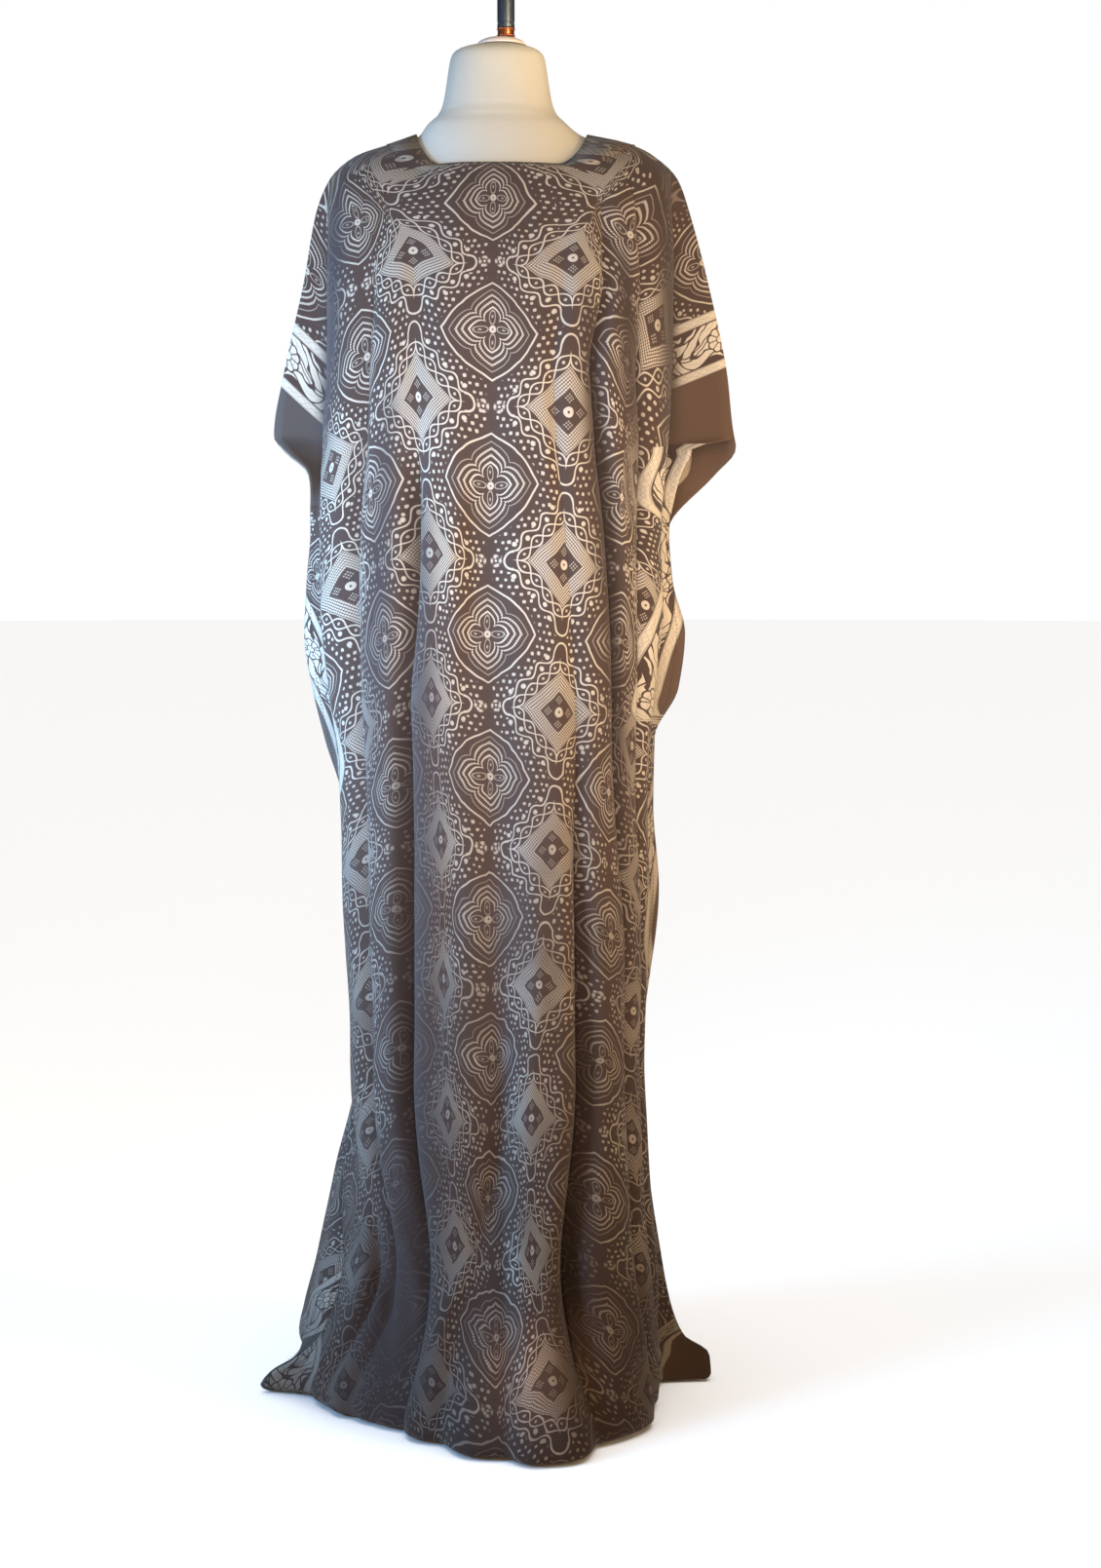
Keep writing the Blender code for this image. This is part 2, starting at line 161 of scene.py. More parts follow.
SECTIONS = table(Section, """
neck 1.383 0.087 0.096 1.343 0.0755 1.376 0.06 0.087 90 0.096 90 0 0 0
yoke 1.373 0.115 0.143 1.336 0.083 1.362 0.076 0.115 90 0.144 90 0 0 0
slope 1.36 0.152 0.168 1.32 0.094 1.345 0.088 0.153 90 0.17 90 0 0 0
point 1.337 0.179 0.187 1.298 0.104 1.321 0.098 0.18 90 0.194 90 0 0 0
cap 1.3 0.188 0.191 1.268 0.114 1.288 0.106 0.196 90 0.208 90 0 0 0
chest 1.228 0.189 0.189 1.205 0.129 1.218 0.115 0.21 90 0.228 90 0 0 0
band 1.134 0.189 0.186 1.122 0.137 1.128 0.119 0.232 90 0.249 90 0 0 0
corner 1.06 0.19 0.183 1.052 0.139 1.056 0.12 0.245 90 0.259 90 1 0.001 0.002
tip 1.047 0.19 0.182 1.039 0.139 1.043 0.12 0.24 91 0.266 91 7 0.006 0.054
lip 1.022 0.192 0.181 1.016 0.14 1.018 0.121 0.216 92 0.247 92 9 0.008 0.046
join 0.96 0.195 0.18 0.958 0.14 0.958 0.121 0.207 95 0.188 95 0 0 0
waist 0.902 0.196 0.18 0.902 0.139 0.902 0.122 0.212 95 0.193 96 0 0 0
swing 0.846 0.193 0.178 0.846 0.138 0.846 0.122 0.214 93 0.206 94 0 0 0
hip 0.786 0.187 0.172 0.786 0.138 0.786 0.123 0.205 92 0.199 94 0 0 0
fold 0.73 0.18 0.166 0.73 0.138 0.73 0.124 0.192 93 0.173 96 0 0 0
thigh 0.655 0.175 0.162 0.655 0.139 0.655 0.126 0.173 96 0.173 98 0 0 0
mid 0.56 0.172 0.163 0.56 0.142 0.56 0.129 0.171 99 0.179 96 0 0 0
knee 0.385 0.161 0.157 0.385 0.148 0.385 0.136 0.16 97 0.162 96 0 0 0
calf 0.235 0.18 0.166 0.235 0.162 0.235 0.148 0.176 80 0.17 97 0 0 0
shin 0.15 0.196 0.175 0.146 0.18 0.15 0.16 0.191 64 0.182 96 0 0 0
ankle 0.085 0.216 0.186 0.08 0.2 0.084 0.172 0.211 67 0.194 95 0 0 0
flare 0.046 0.227 0.196 0.044 0.217 0.046 0.182 0.236 76 0.21 94 0 0 0
brush 0.026 0.225 0.2 0.022 0.229 0.024 0.188 0.258 81 0.238 92 0 0 0
floor 0.008 0.224 0.2 0.008 0.232 0.008 0.188 0.27 83 0.239 89 0 0 0
under 0.0032 0.212 0.19 0.0032 0.222 0.0032 0.178 0.262 83 0.232 88 0 0 0
""")

LEVELS = ("slope", "chest", "band", "corner", "join", "fold", "knee", "shin", "floor")

CREASES = {
    Panel.FRONT: table(Crease, """
left_tuck -84,-86,-86,-86,-82,-79,-86,-54,-73 0,-9,-9,-9,-8,-8,-18,-8,-12
left_side -66,-64,-65,-67,-69,-68,-68,-49,-61 0,4,4,7,7,5,7,-24,-21
left_dip -57,-53,-54,-55,-57,-58,-58,-43,-52 0,-5,-8,-10,-12,-8,-8,-34,-34
left_mid -48,-43,-44,-44,-45,-49,-50,-36,-43 0,3,3,4,6,5,5,-26,-40
left_valley -38,-35,-34,-33,-33,-38,-39,-26,-31 0,0,-2,-3,-15,-21,-25,-30,-44
left_swell -27,-25,-24,-23,-23,-25,-25,-14,-18 0,2,3,3,6,6,8,4,-22
centre 0,-2,-3,-4,-4,-2,0,1,1 0,0,-1,-2,-3,-4,-5,6,17
right_swell 19,19,17,18,19,22,20,10,11 0,3,4,5,5,4,8,26,40
right_low 31,28,23,24,27,34,38,25,26 0,1,1,1,2,-4,-32,-28,4
right_mid 43,36,29,30,34,41,47,37,37 0,4,5,6,6,5,6,14,4
right_valley 52,44,37,39,43,49,57,52,50 0,-12,-16,-22,-28,-30,-10,-10,-22
right_ridge 58,51,46,48,50,57,66,61,60 0,6,9,10,8,4,4,4,-18
right_dip 64,59,56,57,57,64,74,69,69 0,-14,-14,-12,-9,-6,-6,-8,-32
right_side 71,68,69,68,64,70,81,78,77 0,7,7,8,8,5,4,2,-28
right_tuck 84,85,86,84,77,80,88,87,85 0,-11,-11,-10,-8,-8,-14,-18,-18
"""),
    Panel.BACK: table(Crease, """
left_tuck -81,-77,-77,-77,-78,-79,-76,-104,-86 0,-14,-12,-10,-8,-8,-18,6,-12
left_side -66,-60,-60,-61,-62,-64,-60,-80,-68 0,13,12,10,8,5,9,8,4
left_valley -46,-42,-43,-44,-46,-48,-45,-50,-46 0,-6,-10,-14,-18,-24,-34,-26,-20
left_swell -28,-25,-26,-27,-28,-29,-27,-27,-27 0,3,4,4,5,7,9,9,10
centre -2,2,3,4,5,4,2,0,0 0,-3,-6,-9,-12,-18,-28,-22,-14
right_swell 28,27,28,29,30,31,28,27,27 0,3,4,5,6,7,10,11,12
right_valley 46,44,45,46,48,49,47,46,45 0,-5,-10,-15,-20,-26,-36,-30,-22
right_side 66,60,61,62,64,65,62,62,62 0,13,12,10,8,5,9,7,5
right_tuck 81,77,77,78,79,80,77,77,79 0,-14,-12,-10,-8,-8,-18,-20,-16
"""),
}

OVERHANGS = (
    Overhang(Panel.FRONT, "left_valley", Side.RIGHT, 2.0),
    Overhang(Panel.FRONT, "right_valley", Side.LEFT, 4.0),
    Overhang(Panel.FRONT, "right_low", Side.RIGHT, 3.0),
    Overhang(Panel.FRONT, "right_dip", Side.LEFT, 3.0),
    Overhang(Panel.FRONT, "left_dip", Side.RIGHT, 2.5),
    Overhang(Panel.BACK, "left_valley", Side.RIGHT, 4.0),
    Overhang(Panel.BACK, "right_valley", Side.LEFT, 3.5),
    Overhang(Panel.BACK, "centre", Side.RIGHT, 3.0),
)

VALLEYS = ("left_dip", "left_valley", "right_low", "right_valley", "right_dip")

# Painted shade in the front's folds: down each fold, its height, its middle, its half-width and
# how far the painted shade swallows the print.
FRONT_PAINTED_SHADES = {
    "right_main": numbers("""
1.22,0.092,0.005,0 1.19,0.094,0.007,0.6 1.14,0.0965,0.009,0.95 1.08,0.1,0.01,1
1.024,0.1045,0.01,1 0.943,0.1122,0.01,1 0.842,0.1198,0.009,1 0.758,0.1249,0.01,0.8
0.647,0.132,0.011,0.55 0.56,0.137,0.011,0.25 0.45,0.14,0.01,0"""),
    "right_second": numbers("""
1.26,0.13,0.005,0 1.22,0.132,0.008,0.85 1.16,0.1365,0.009,0.95 1.105,0.1395,0.01,0.85
1.034,0.146,0.01,0.55 0.96,0.15,0.009,0.15 0.9,0.15,0.009,0"""),
    "right_sleeve": numbers("""
1.33,0.172,0.006,0.3 1.27,0.179,0.011,0.9 1.162,0.184,0.012,0.95 1.075,0.189,0.013,0.9
1.02,0.19,0.01,0"""),
    "left_sleeve": numbers("""
1.32,-0.168,0.006,0.4 1.28,-0.173,0.01,0.85 1.162,-0.178,0.011,0.95 1.085,-0.186,0.01,0.85
1.03,-0.19,0.008,0.3 0.98,-0.192,0.008,0"""),
    "left_second": numbers("""
1.13,-0.113,0.006,0 1.085,-0.1147,0.009,0.45 0.984,-0.1198,0.011,0.6 0.862,-0.127,0.015,0.6
0.779,-0.13,0.017,0.55 0.7,-0.134,0.016,0.35 0.6,-0.138,0.014,0"""),
    "left_main": numbers("""
1.04,-0.081,0.005,0 0.96,-0.08,0.01,0.6 0.862,-0.081,0.013,0.75 0.8,-0.083,0.017,0.85
0.647,-0.087,0.024,0.9 0.491,-0.089,0.026,0.9 0.336,-0.088,0.03,0.95 0.236,-0.092,0.036,1
0.139,-0.104,0.048,1 0.09,-0.116,0.056,1 0.04,-0.124,0.06,0.85 0,-0.128,0.06,0.7"""),
    "right_low": numbers("""
0.48,0.09,0.008,0 0.427,0.089,0.011,0.6 0.336,0.084,0.014,0.75 0.236,0.08,0.018,0.9
0.139,0.08,0.028,0.95 0.09,0.085,0.034,0.9 0.04,0.088,0.034,0.6 0,0.088,0.034,0.4"""),
    "right_hem": numbers("""
0.2,0.17,0.02,0 0.14,0.16,0.035,0.6 0.08,0.155,0.045,0.7 0,0.15,0.045,0.5"""),
}

RIPPLES = {
    Panel.FRONT: table(Ripple, """
left_shoulder_drag -60 -40 1.33 1.1 9 2.5
left_bust_drag -44 -22 1.3 1.08 10 -2.2
right_shoulder_drag 60 46 1.33 1.16 8 -2.5
right_bust_drag 42 20 1.29 1.1 10 2
neck_left -20 -26 1.32 1.18 11 1.6
neck_right 12 22 1.31 1.17 11 -1.6
left_rib -20 -16 1.1 0.82 12 2.6
left_rib_trough -12 -12 1.02 0.7 12 -2.6
right_rib 12 16 1.06 0.8 12 -2.2
left_hip -36 -33 0.92 0.62 9 3
left_side_fold -66 -74 0.94 0.74 9 3.5
left_side_trough -74 -80 0.92 0.72 8 -3
right_side_fold 70 80 0.93 0.76 8 3
left_knee -20 -24 0.66 0.34 12 -3.4
right_knee 16 12 0.62 0.3 11 3
middle_knee 4 -6 0.46 0.16 11 -3.2
right_low_fold 36 24 0.36 0.1 8 3.6
left_low_fold -50 -28 0.34 0.08 9 3.6
left_low_trough -58 -40 0.3 0.06 8 -3.4
hem_left -12 -24 0.2 0.02 8 4
hem_middle 2 8 0.17 0.02 7 -4.5
hem_right 44 52 0.2 0.02 8 4
"""),
    Panel.BACK: table(Ripple, """
left_blade -50 -30 1.32 1.08 10 2.6
right_blade 52 34 1.32 1.1 10 -2.6
nape_left -14 -20 1.34 1.14 12 1.8
nape_right 16 14 1.33 1.12 11 -1.8
left_loin -38 -36 1.02 0.66 10 -3
right_loin 20 17 0.98 0.6 11 2.8
middle_loin -12 -14 0.94 0.52 11 3
left_seat -58 -56 0.78 0.42 9 3.2
right_seat 40 38 0.72 0.38 10 -3.2
left_low -20 -14 0.44 0.1 11 -3.6
right_low 16 10 0.4 0.08 11 3.6
right_far_low 72 68 0.4 0.08 9 3.2
hem_left -40 -36 0.18 0.02 8 4
hem_right 36 40 0.18 0.02 8 -4
"""),
}

# How much of each cloth's edge is turned out of sight, at a height, and its growth inwards.
HIDDEN = {
    (Panel.FRONT, Side.LEFT): numbers("""
1,0.14,1 0.895,0.14,1 0.87,0.122,1 0.84,0.1,1 0.78,0.068,1 0.74,0.054,1 0.71,0.048,1
0.68,0.058,1 0.66,0.08,1 0.635,0.14,1 0.2,0.14,1 0.088,0.14,1 0.068,0.115,1 0.045,0.088,1
0.02,0.078,1 0,0.075,1"""),
    (Panel.FRONT, Side.RIGHT): numbers("""
1.06,0.055,0.8 1.04,0.069,0.62 0.99,0.07,0.62 0.97,0.085,0.62 0.955,0.12,0.62 0.94,0.105,0.62
0.905,0.085,0.62 0.86,0.066,0.62 0.82,0.054,0.62 0.775,0.05,0.62 0.757,0.06,0.62
0.745,0.14,0.8 0.7,0.14,1 0.67,0.13,1 0.62,0.085,1 0.57,0.065,1 0.52,0.06,1 0.47,0.075,1
0.43,0.11,1 0.4,0.14,1 0.07,0.14,1 0.045,0.05,1 0.02,0.01,1 0,0.005,1"""),
    (Panel.BACK, Side.LEFT): numbers("""
1.06,0,1 1.02,0,1 0.96,0.05,1 0.9,0.09,1 0.84,0.07,1 0.76,0.05,1 0.7,0.1,1 0.66,0.14,1
0.16,0.14,1 0.14,0.12,1 0.115,0.085,1 0.09,0.07,1 0.07,0.045,1 0.05,0.015,1 0.03,0,1 0,0,1"""),
    (Panel.BACK, Side.RIGHT): numbers("""
1.06,0.01,1 1.04,0.02,1 1.02,0.034,1 0.99,0.036,1 0.96,0.04,1 0.9,0.05,1 0.85,0.03,1
0.78,0.06,1 0.72,0.14,1 0.62,0.1,1 0.55,0.08,1 0.45,0.12,1 0.38,0.14,1 0.06,0.14,1
0.045,0.09,1 0.03,0.05,1 0.015,0.04,1 0,0.04,1"""),
}

# The border round each sleeve: the height where its plain strip starts, its growth up the sleeve
# and its growth inwards.
SLEEVE_BORDERS = {Side.LEFT: (1.063, 1.05, 0.82), Side.RIGHT: (1.090, 1.17, 0.457)}

# Where the front's motifs lie: for each half repeat from the middle, its marks, each with the row
# of the print, its turn in degrees and its distance down the front in metres.
FRONT_PRINT = {
    -4: numbers("""
-1,-106,0.01 0,-96,0.2 2,-90,0.447 3,-76,0.565 4,-80,0.715 6,-78,1.01 8,-67.5,1.29"""),
    -3: numbers("""
-0.8,-98,0.01 0.5,-76,0.2 1.5,-66.3,0.333 2.5,-60.5,0.455 3.5,-55,0.61 4.5,-60.2,0.748
5.5,-60.2,0.899 7.5,-55.9,1.189 8.5,-53.9,1.327"""),
    -2: numbers("""
-0.7,-90,0.01 0,-61.3,0.082 1,-55.2,0.217 2,-49.1,0.359 3,-44.3,0.51 4,-43.4,0.666
5,-43.3,0.798 6,-42.5,0.949 7,-42.1,1.094 8,-39.8,1.239"""),
    -1.5: numbers("""
-0.6,-80,0.01 0,-54.8,0.069 1.5,-42.1,0.267 2.5,-39,0.425 3.5,-34.4,0.573 4.5,-29.8,0.721
5.5,-27.5,0.869 6.5,-25.4,1.012 7.5,-22.7,1.147 8.5,-28.4,1.292"""),
    -1: numbers("""
-0.5,-64.5,0.011 0.5,-38.5,0.106 1.5,-33,0.259 2.5,-27.1,0.42 3.5,-27,0.571 4.5,-23.5,0.721
5.5,-22,0.869 6.5,-19.7,1.012 7.5,-15.8,1.15 8.5,-20.5,1.298"""),
    -0.5: numbers("""
-0.35,-30,0.005 0,-21.8,0.053 1.5,-19.8,0.262 2.5,-17.3,0.425 3.5,-19.3,0.576 4.5,-17.9,0.724
5.5,-17.6,0.875 6.5,-13.8,1.02 7.5,-9.6,1.157 8.5,-12.3,1.303"""),
    0: numbers("""
0,-2.8,0.048 1,-2.5,0.19 2,-3.5,0.351 3,-5.2,0.505 4,-4,0.655 5,-5.1,0.806 6,-3.4,0.954
7,-4.5,1.102 8,-1.1,1.245"""),
    0.5: numbers("""
-0.35,25,0.005 0,14.3,0.053 1.5,12.3,0.27 2.5,12.4,0.428 3.5,10.4,0.581 4.5,8.4,0.732
5.5,6.3,0.875 6.5,5.2,1.02 7.5,5.7,1.16 8.5,4,1.303"""),
    1: numbers("""
-0.5,58,0.008 0.5,33.7,0.114 1.5,28.1,0.275 2.5,26.3,0.433 3.5,24.6,0.587 4.5,21.8,0.732
5.5,15.7,0.875 6.5,12.1,1.015 7.5,10.1,1.152 8.5,13.1,1.282"""),
    1.5: numbers("""
-0.6,74,0.01 0,47,0.063 1.5,40.5,0.277 2.5,38.3,0.436 3.5,37.5,0.589 4.5,35.5,0.74
5.5,29.7,0.88 6.5,20.9,1.017 7.5,17,1.152 8.5,22.8,1.29"""),
    2: numbers("""
-0.7,85,0.01 0,56.8,0.092 1,49.9,0.222 2,47.8,0.362 3,49.7,0.513 4,45.8,0.674 5,45.5,0.827
6,41.1,0.962 7,35.3,1.107 8,33.8,1.245"""),
    3: numbers("""
-0.8,95,0.01 0.5,64.4,0.188 1.5,53.5,0.344 2.5,61.6,0.476 3.5,57.6,0.626 4.5,64.4,0.777
5.5,62.4,0.917 6.5,60.6,1.057 7.5,57.4,1.2 8.5,46.6,1.324"""),
    4: numbers("""
-1,104,0.01 0,92,0.2 2,82,0.43 4,80,0.72 6,82,1.01 8,78,1.3"""),
}

# How much longer the cloth is than the plain body's front, down to each height: it leans out
# further over the bust and sags a little towards the hem.
SLACK = ((0.0, 0.013), (0.10, 0.013), (0.40, 0.010), (0.70, 0.005), (1.005, 0.007),
         (1.166, 0.0165), (1.30, 0.0), (1.40, 0.0))

# How square the plain body is: 2 is an ellipse.
SQUARENESS = 2.3


class Curve:
    """A curve through knots that never overshoots them (monotone cubic)."""

    def __init__(self, knots: Sequence[float], values: Sequence[float]) -> None:
        """Works the tangents out once.

        Args:
            knots: rising positions of the values.
            values: one value for each knot.
        """
        self.knots = np.asarray(knots, float)
        self.values = np.asarray(values, float)
        self.gaps = np.diff(self.knots)
        slopes = np.diff(self.values) / self.gaps
        self.tangents = np.zeros(len(self.knots))
        for i in range(1, len(self.knots) - 1):
            before, after = slopes[i - 1], slopes[i]
            if before * after > 0:
                self.tangents[i] = 2 * before * after / (before + after)
        self.tangents[0], self.tangents[-1] = slopes[0], slopes[-1]

    def __call__(self, x: float) -> float:
        """The curve's value at a place.

        Args:
            x: the place; the curve is level beyond its ends.

        Returns:
            The value.
        """
        x = min(max(x, self.knots[0]), self.knots[-1])
        i = int(np.clip(np.searchsorted(self.knots, x) - 1, 0, len(self.gaps) - 1))
        t = (x - self.knots[i]) / self.gaps[i]
        return float(
            (1 + 2 * t) * (1 - t) ** 2 * self.values[i]
            + t * (1 - t) ** 2 * self.gaps[i] * self.tangents[i]
            + t * t * (3 - 2 * t) * self.values[i + 1]
            + t * t * (t - 1) * self.gaps[i] * self.tangents[i + 1]
        )


def ease(low: float, high: float, x: float) -> float:
    """A smooth step from 0 at low to 1 at high."""
    t = min(1.0, max(0.0, (x - low) / (high - low)))
    return t * t * (3 - 2 * t)


def around(radius: float, turn: float, height: float) -> Vector:
    """A point at a radius and an angle from the front, positive towards the right."""
    return Vector((radius * math.sin(turn), -radius * math.cos(turn), height))


def plain_radius(left: float, right: float, front: float, back: float, turn: float) -> float:
    """The plain body's radius at an angle from the front.

    Args:
        left: half-width at the left.
        right: half-width at the right.
        front: depth at the front.
        back: depth at the back.
        turn: angle from the front, positive towards the right.

    Returns:
        The distance from the form's axis.
    """
    side = right if turn > 0 else left
    depth = front if abs(turn) <= math.pi / 2 else back
    across = (abs(math.sin(turn)) / side) ** SQUARENESS
    along = (abs(math.cos(turn)) / depth) ** SQUARENESS
    return (across + along) ** (-1 / SQUARENESS)


# A point of a cloth on the wall's inner face, its turn from the cloth's middle and its depth.
Spot = tuple[Vector, float, float]


@dataclass
class Drape:
    """The form in which the two cloths hang, as rings worked out from the sections."""

    dip_starts: float = 0.50
    seam_gap: float = 0.0003
    pinch: float = 1.1
    steep: float = 0.022
    ridge_round: float = 1.25
    lean_low: float = 0.55
    runs: list[float] = field(init=False)

    def __post_init__(self) -> None:
        """Lays the tables out as curves over the distance down the front."""
        self.runs = [0.0]
        for above, below in zip(SECTIONS, SECTIONS[1:]):
            drop = above.front_mid - below.front_mid
            out = below.front_depth - above.front_depth
            self.runs.append(self.runs[-1] + math.hypot(drop, out))
        self.run_of = {s.name: run for s, run in zip(SECTIONS, self.runs)}
        self.sizes = {
            name: Curve(self.runs, [getattr(s, name) for s in SECTIONS])
            for name in Section._fields[1:]
        }
        levels = [self.run_of[name] for name in LEVELS]
        self.creases = {
            panel: [(Curve(levels, c.turn), Curve(levels, c.depth)) for c in table]
            for panel, table in CREASES.items()
        }
        self.overhangs = {}
        for over in OVERHANGS:
            valley = [c.name for c in CREASES[over.panel]].index(over.valley) + 1
            gap = valley if over.side is Side.RIGHT else valley - 1
            self.overhangs[over.panel, gap] = math.radians(over.turn)
        heights = [s.front_mid for s in reversed(SECTIONS)]
        self.run_at = Curve(heights, list(reversed(self.runs)))

    def stations(self, panel: Panel, run: float) -> list[tuple[float, float]]:
        """Turn and depth of each crease of a cloth at one level, with its two ends.

        Args:
            panel: which cloth.
            run: distance down the front of the dress.

        Returns:
            (turn in radians, depth in metres) from the left edge to the right.
        """
        limits = self.limits(panel, run)
        marks = [
            (math.radians(turn(run)), depth(run) * MILLI) for turn, depth in self.creases[panel]
        ]
        return [(-limits[Side.LEFT], 0.0)] + marks + [(limits[Side.RIGHT], 0.0)]

    def limits(self, panel: Panel, run: float) -> dict[Side, float]:
        """How far round each edge of a cloth lies from its middle.

        Args:
            panel: which cloth.
            run: distance down the front of the dress.

        Returns:
            The angle to each edge, in radians.
        """
        found = {}
        for side in Side:
            turn = math.radians(self.sizes[side.name.lower() + "_turn"](run))
            found[side] = math.pi - turn if panel is Panel.BACK else turn
        return found

    def rise(self, middle: float, side: float, share: float) -> float:
        """Height of a ring that climbs from its middle to its side, at a share of the way."""
        return middle + (side - middle) * ease(self.dip_starts, 1.0, share)

    def ring(self, panel: Panel, run: float, steps: int) -> list[Spot]:
        """One ring of a cloth, from its left edge to its right.

        Args:
            panel: which cloth.
            run: distance down the front of the dress.
            steps: columns from one crease to the next.

        Returns:
            Its points.
        """
        level = Level(self, panel, run)
        stations = self.stations(panel, run)
        found = []
        for i, (start, end) in enumerate(zip(stations, stations[1:])):
            over = self.overhangs.get((panel, i), 0.0)
            for step in range(steps):
                t = step / steps
                turn = start[0] + (end[0] - start[0]) * t
                if i == 0:
                    found.append(level.point(turn, end[1], (1 - t) ** 2))
                elif i == len(stations) - 2:
                    found.append(level.point(turn, start[1], t * t))
                else:
                    found.append(level.point(*self.slope(start, end, t, over), 0.0))
        found.append(level.point(level.limits[Side.RIGHT], 0.0, 1.0))
        return found

    def slope(self, start: tuple[float, float], end: tuple[float, float], t: float,
              over: float) -> tuple[float, float]:
        """A point between two creases, where the cloth falls steeply into the deeper one.

        Args:
            start: turn and depth of the crease at the left.
            end: turn and depth of the crease at the right.
            t: how far the point lies from the one to the other.
            over: how far the ridge hangs over the valley, in radians.

        Returns:
            Its turn and depth.
        """
        falls = end[1] < start[1]
        valley, ridge = (end, start) if falls else (start, end)
        away = (1 - t if falls else t) ** self.ridge_round
        drop = ridge[1] - valley[1]
        sharp = 1 + self.pinch * min(1.0, drop / self.steep)
        rise = (1 + math.cos(math.pi * (1 - away) ** sharp)) / 2
        turn = valley[0] + (ridge[0] - valley[0]) * away
        lean = over * min(1.0, drop / self.steep) * math.sin(math.pi * away ** self.lean_low)
        turn += math.copysign(lean, valley[0] - ridge[0])
        return turn, valley[1] + drop * rise


class Level:
    """What one cloth measures at one distance down the front."""

    def __init__(self, drape: Drape, panel: Panel, run: float) -> None:
        """Reads the sizes off the drape's curves.

        Args:
            drape: the curves.
            panel: which cloth.
            run: distance down the front of the dress.
        """
        self.drape, self.panel = drape, panel
        self.at = {name: curve(run) for name, curve in drape.sizes.items()}
        self.limits = drape.limits(panel, run)

    def point(self, turn: float, depth: float, at_edge: float) -> Spot:
        """A point of the cloth.

        Args:
            turn: how far it lies from the cloth's middle, in radians.
            depth: how far the creases lift it.
            at_edge: how much it belongs to the cloth's edge, 1 on the edge itself.

        Returns:
            The point.
        """
        at, back = self.at, self.panel is Panel.BACK
        side = Side.RIGHT if turn > 0 else Side.LEFT
        name = side.name.lower()
        bent = turn - math.copysign(math.radians(at["gape"]) * at_edge, turn)
        world = math.copysign(math.pi - abs(bent), bent) if back else bent
        radius = plain_radius(at["left"], at["right"], at["front_depth"], at["back_depth"], world)
        reach = at[name + "_reach"] - (0.0 if back else at[name + "_cut"])
        radius = (radius + depth) * (1 - at_edge) + reach * at_edge
        middle = at["back_mid" if back else "front_mid"]
        share = abs(turn) / self.limits[side]
        spot = around(radius, world, self.drape.rise(middle, at["side"], share))
        seam = math.radians(at[name + "_turn"])
        across = Vector((side.value * math.cos(seam), math.sin(seam), 0.0))
        spot += across * (self.drape.seam_gap / 2 * self.panel.value * at_edge)
        return spot, turn, depth * (1 - at_edge)


def pair(operation: str, turned: bool = False) -> "Callable[[Socket, float | Socket], Socket]":
    """A method that works on a socket and another value.

    Args:
        operation: what its Math node does.
        turned: whether the other value comes first.

    Returns:
        The method.
    """

    def apply(self: "Socket", other: "float | Socket") -> "Socket":
        """Adds the Math node."""
        return self.shader.math(operation, *((other, self) if turned else (self, other)))

    return apply


def alone(operation: str) -> "Callable[[Socket], Socket]":
    """A method that works on a socket alone, by its Math node's operation."""
    return lambda self: self.shader.math(operation, self)


class Socket:
    """A node's output, so that shader maths reads as an expression."""

    def __init__(self, shader: "Shader", output: bpy.types.NodeSocket) -> None:
        """Keeps the output and the shader it belongs to."""
        self.shader = shader
        self.output = output

    __add__, __radd__ = pair("ADD"), pair("ADD", turned=True)
    __sub__, __rsub__ = pair("SUBTRACT"), pair("SUBTRACT", turned=True)
    __mul__, __rmul__ = pair("MULTIPLY"), pair("MULTIPLY", turned=True)
    __truediv__ = pair("DIVIDE")
    __abs__ = alone("ABSOLUTE")
    at_most, at_least, angle = pair("MINIMUM"), pair("MAXIMUM"), pair("ARCTAN2")
    sine, cosine, root, floor = alone("SINE"), alone("COSINE"), alone("SQRT"), alone("FLOOR")

    def near(self, pitch: float) -> "Socket":
        """Distance to the nearest multiple of the pitch."""
        return self.shader.math("PINGPONG", self, pitch / 2)

    def wave(self, pitch: float) -> "Socket":
        """Sine that repeats at a pitch."""
        return (self * (2 * math.pi / pitch)).sine()

    def inside(self, edge: "float | Socket", soft: float) -> "Socket":
        """1 where this is under the edge, 0 where it is over, soft between."""
        return self.shader.math("MULTIPLY_ADD", edge - self, 1 / soft, 0.5, clamp=True)

    def outside(self, edge: "float | Socket", soft: float) -> "Socket":
        """0 where this is under the edge, 1 where it is over, soft between."""
        return 1.0 - self.inside(edge, soft)

    def rising(self, start: float, length: float) -> "Socket":
        """0 up to the start, 1 from a length past it, straight between."""
        return ((self - start) / length).at_least(0.0).at_most(1.0)

    def falling(self, start: float, length: float) -> "Socket":
        """0 down to the start, 1 from a length below it, straight between."""
        return ((start - self) / length).at_least(0.0).at_most(1.0)


def apart(x: Socket, y: Socket) -> Socket:
    """How far a point lies from the place where both its distances are nought."""
    return (x * x + y * y).root()


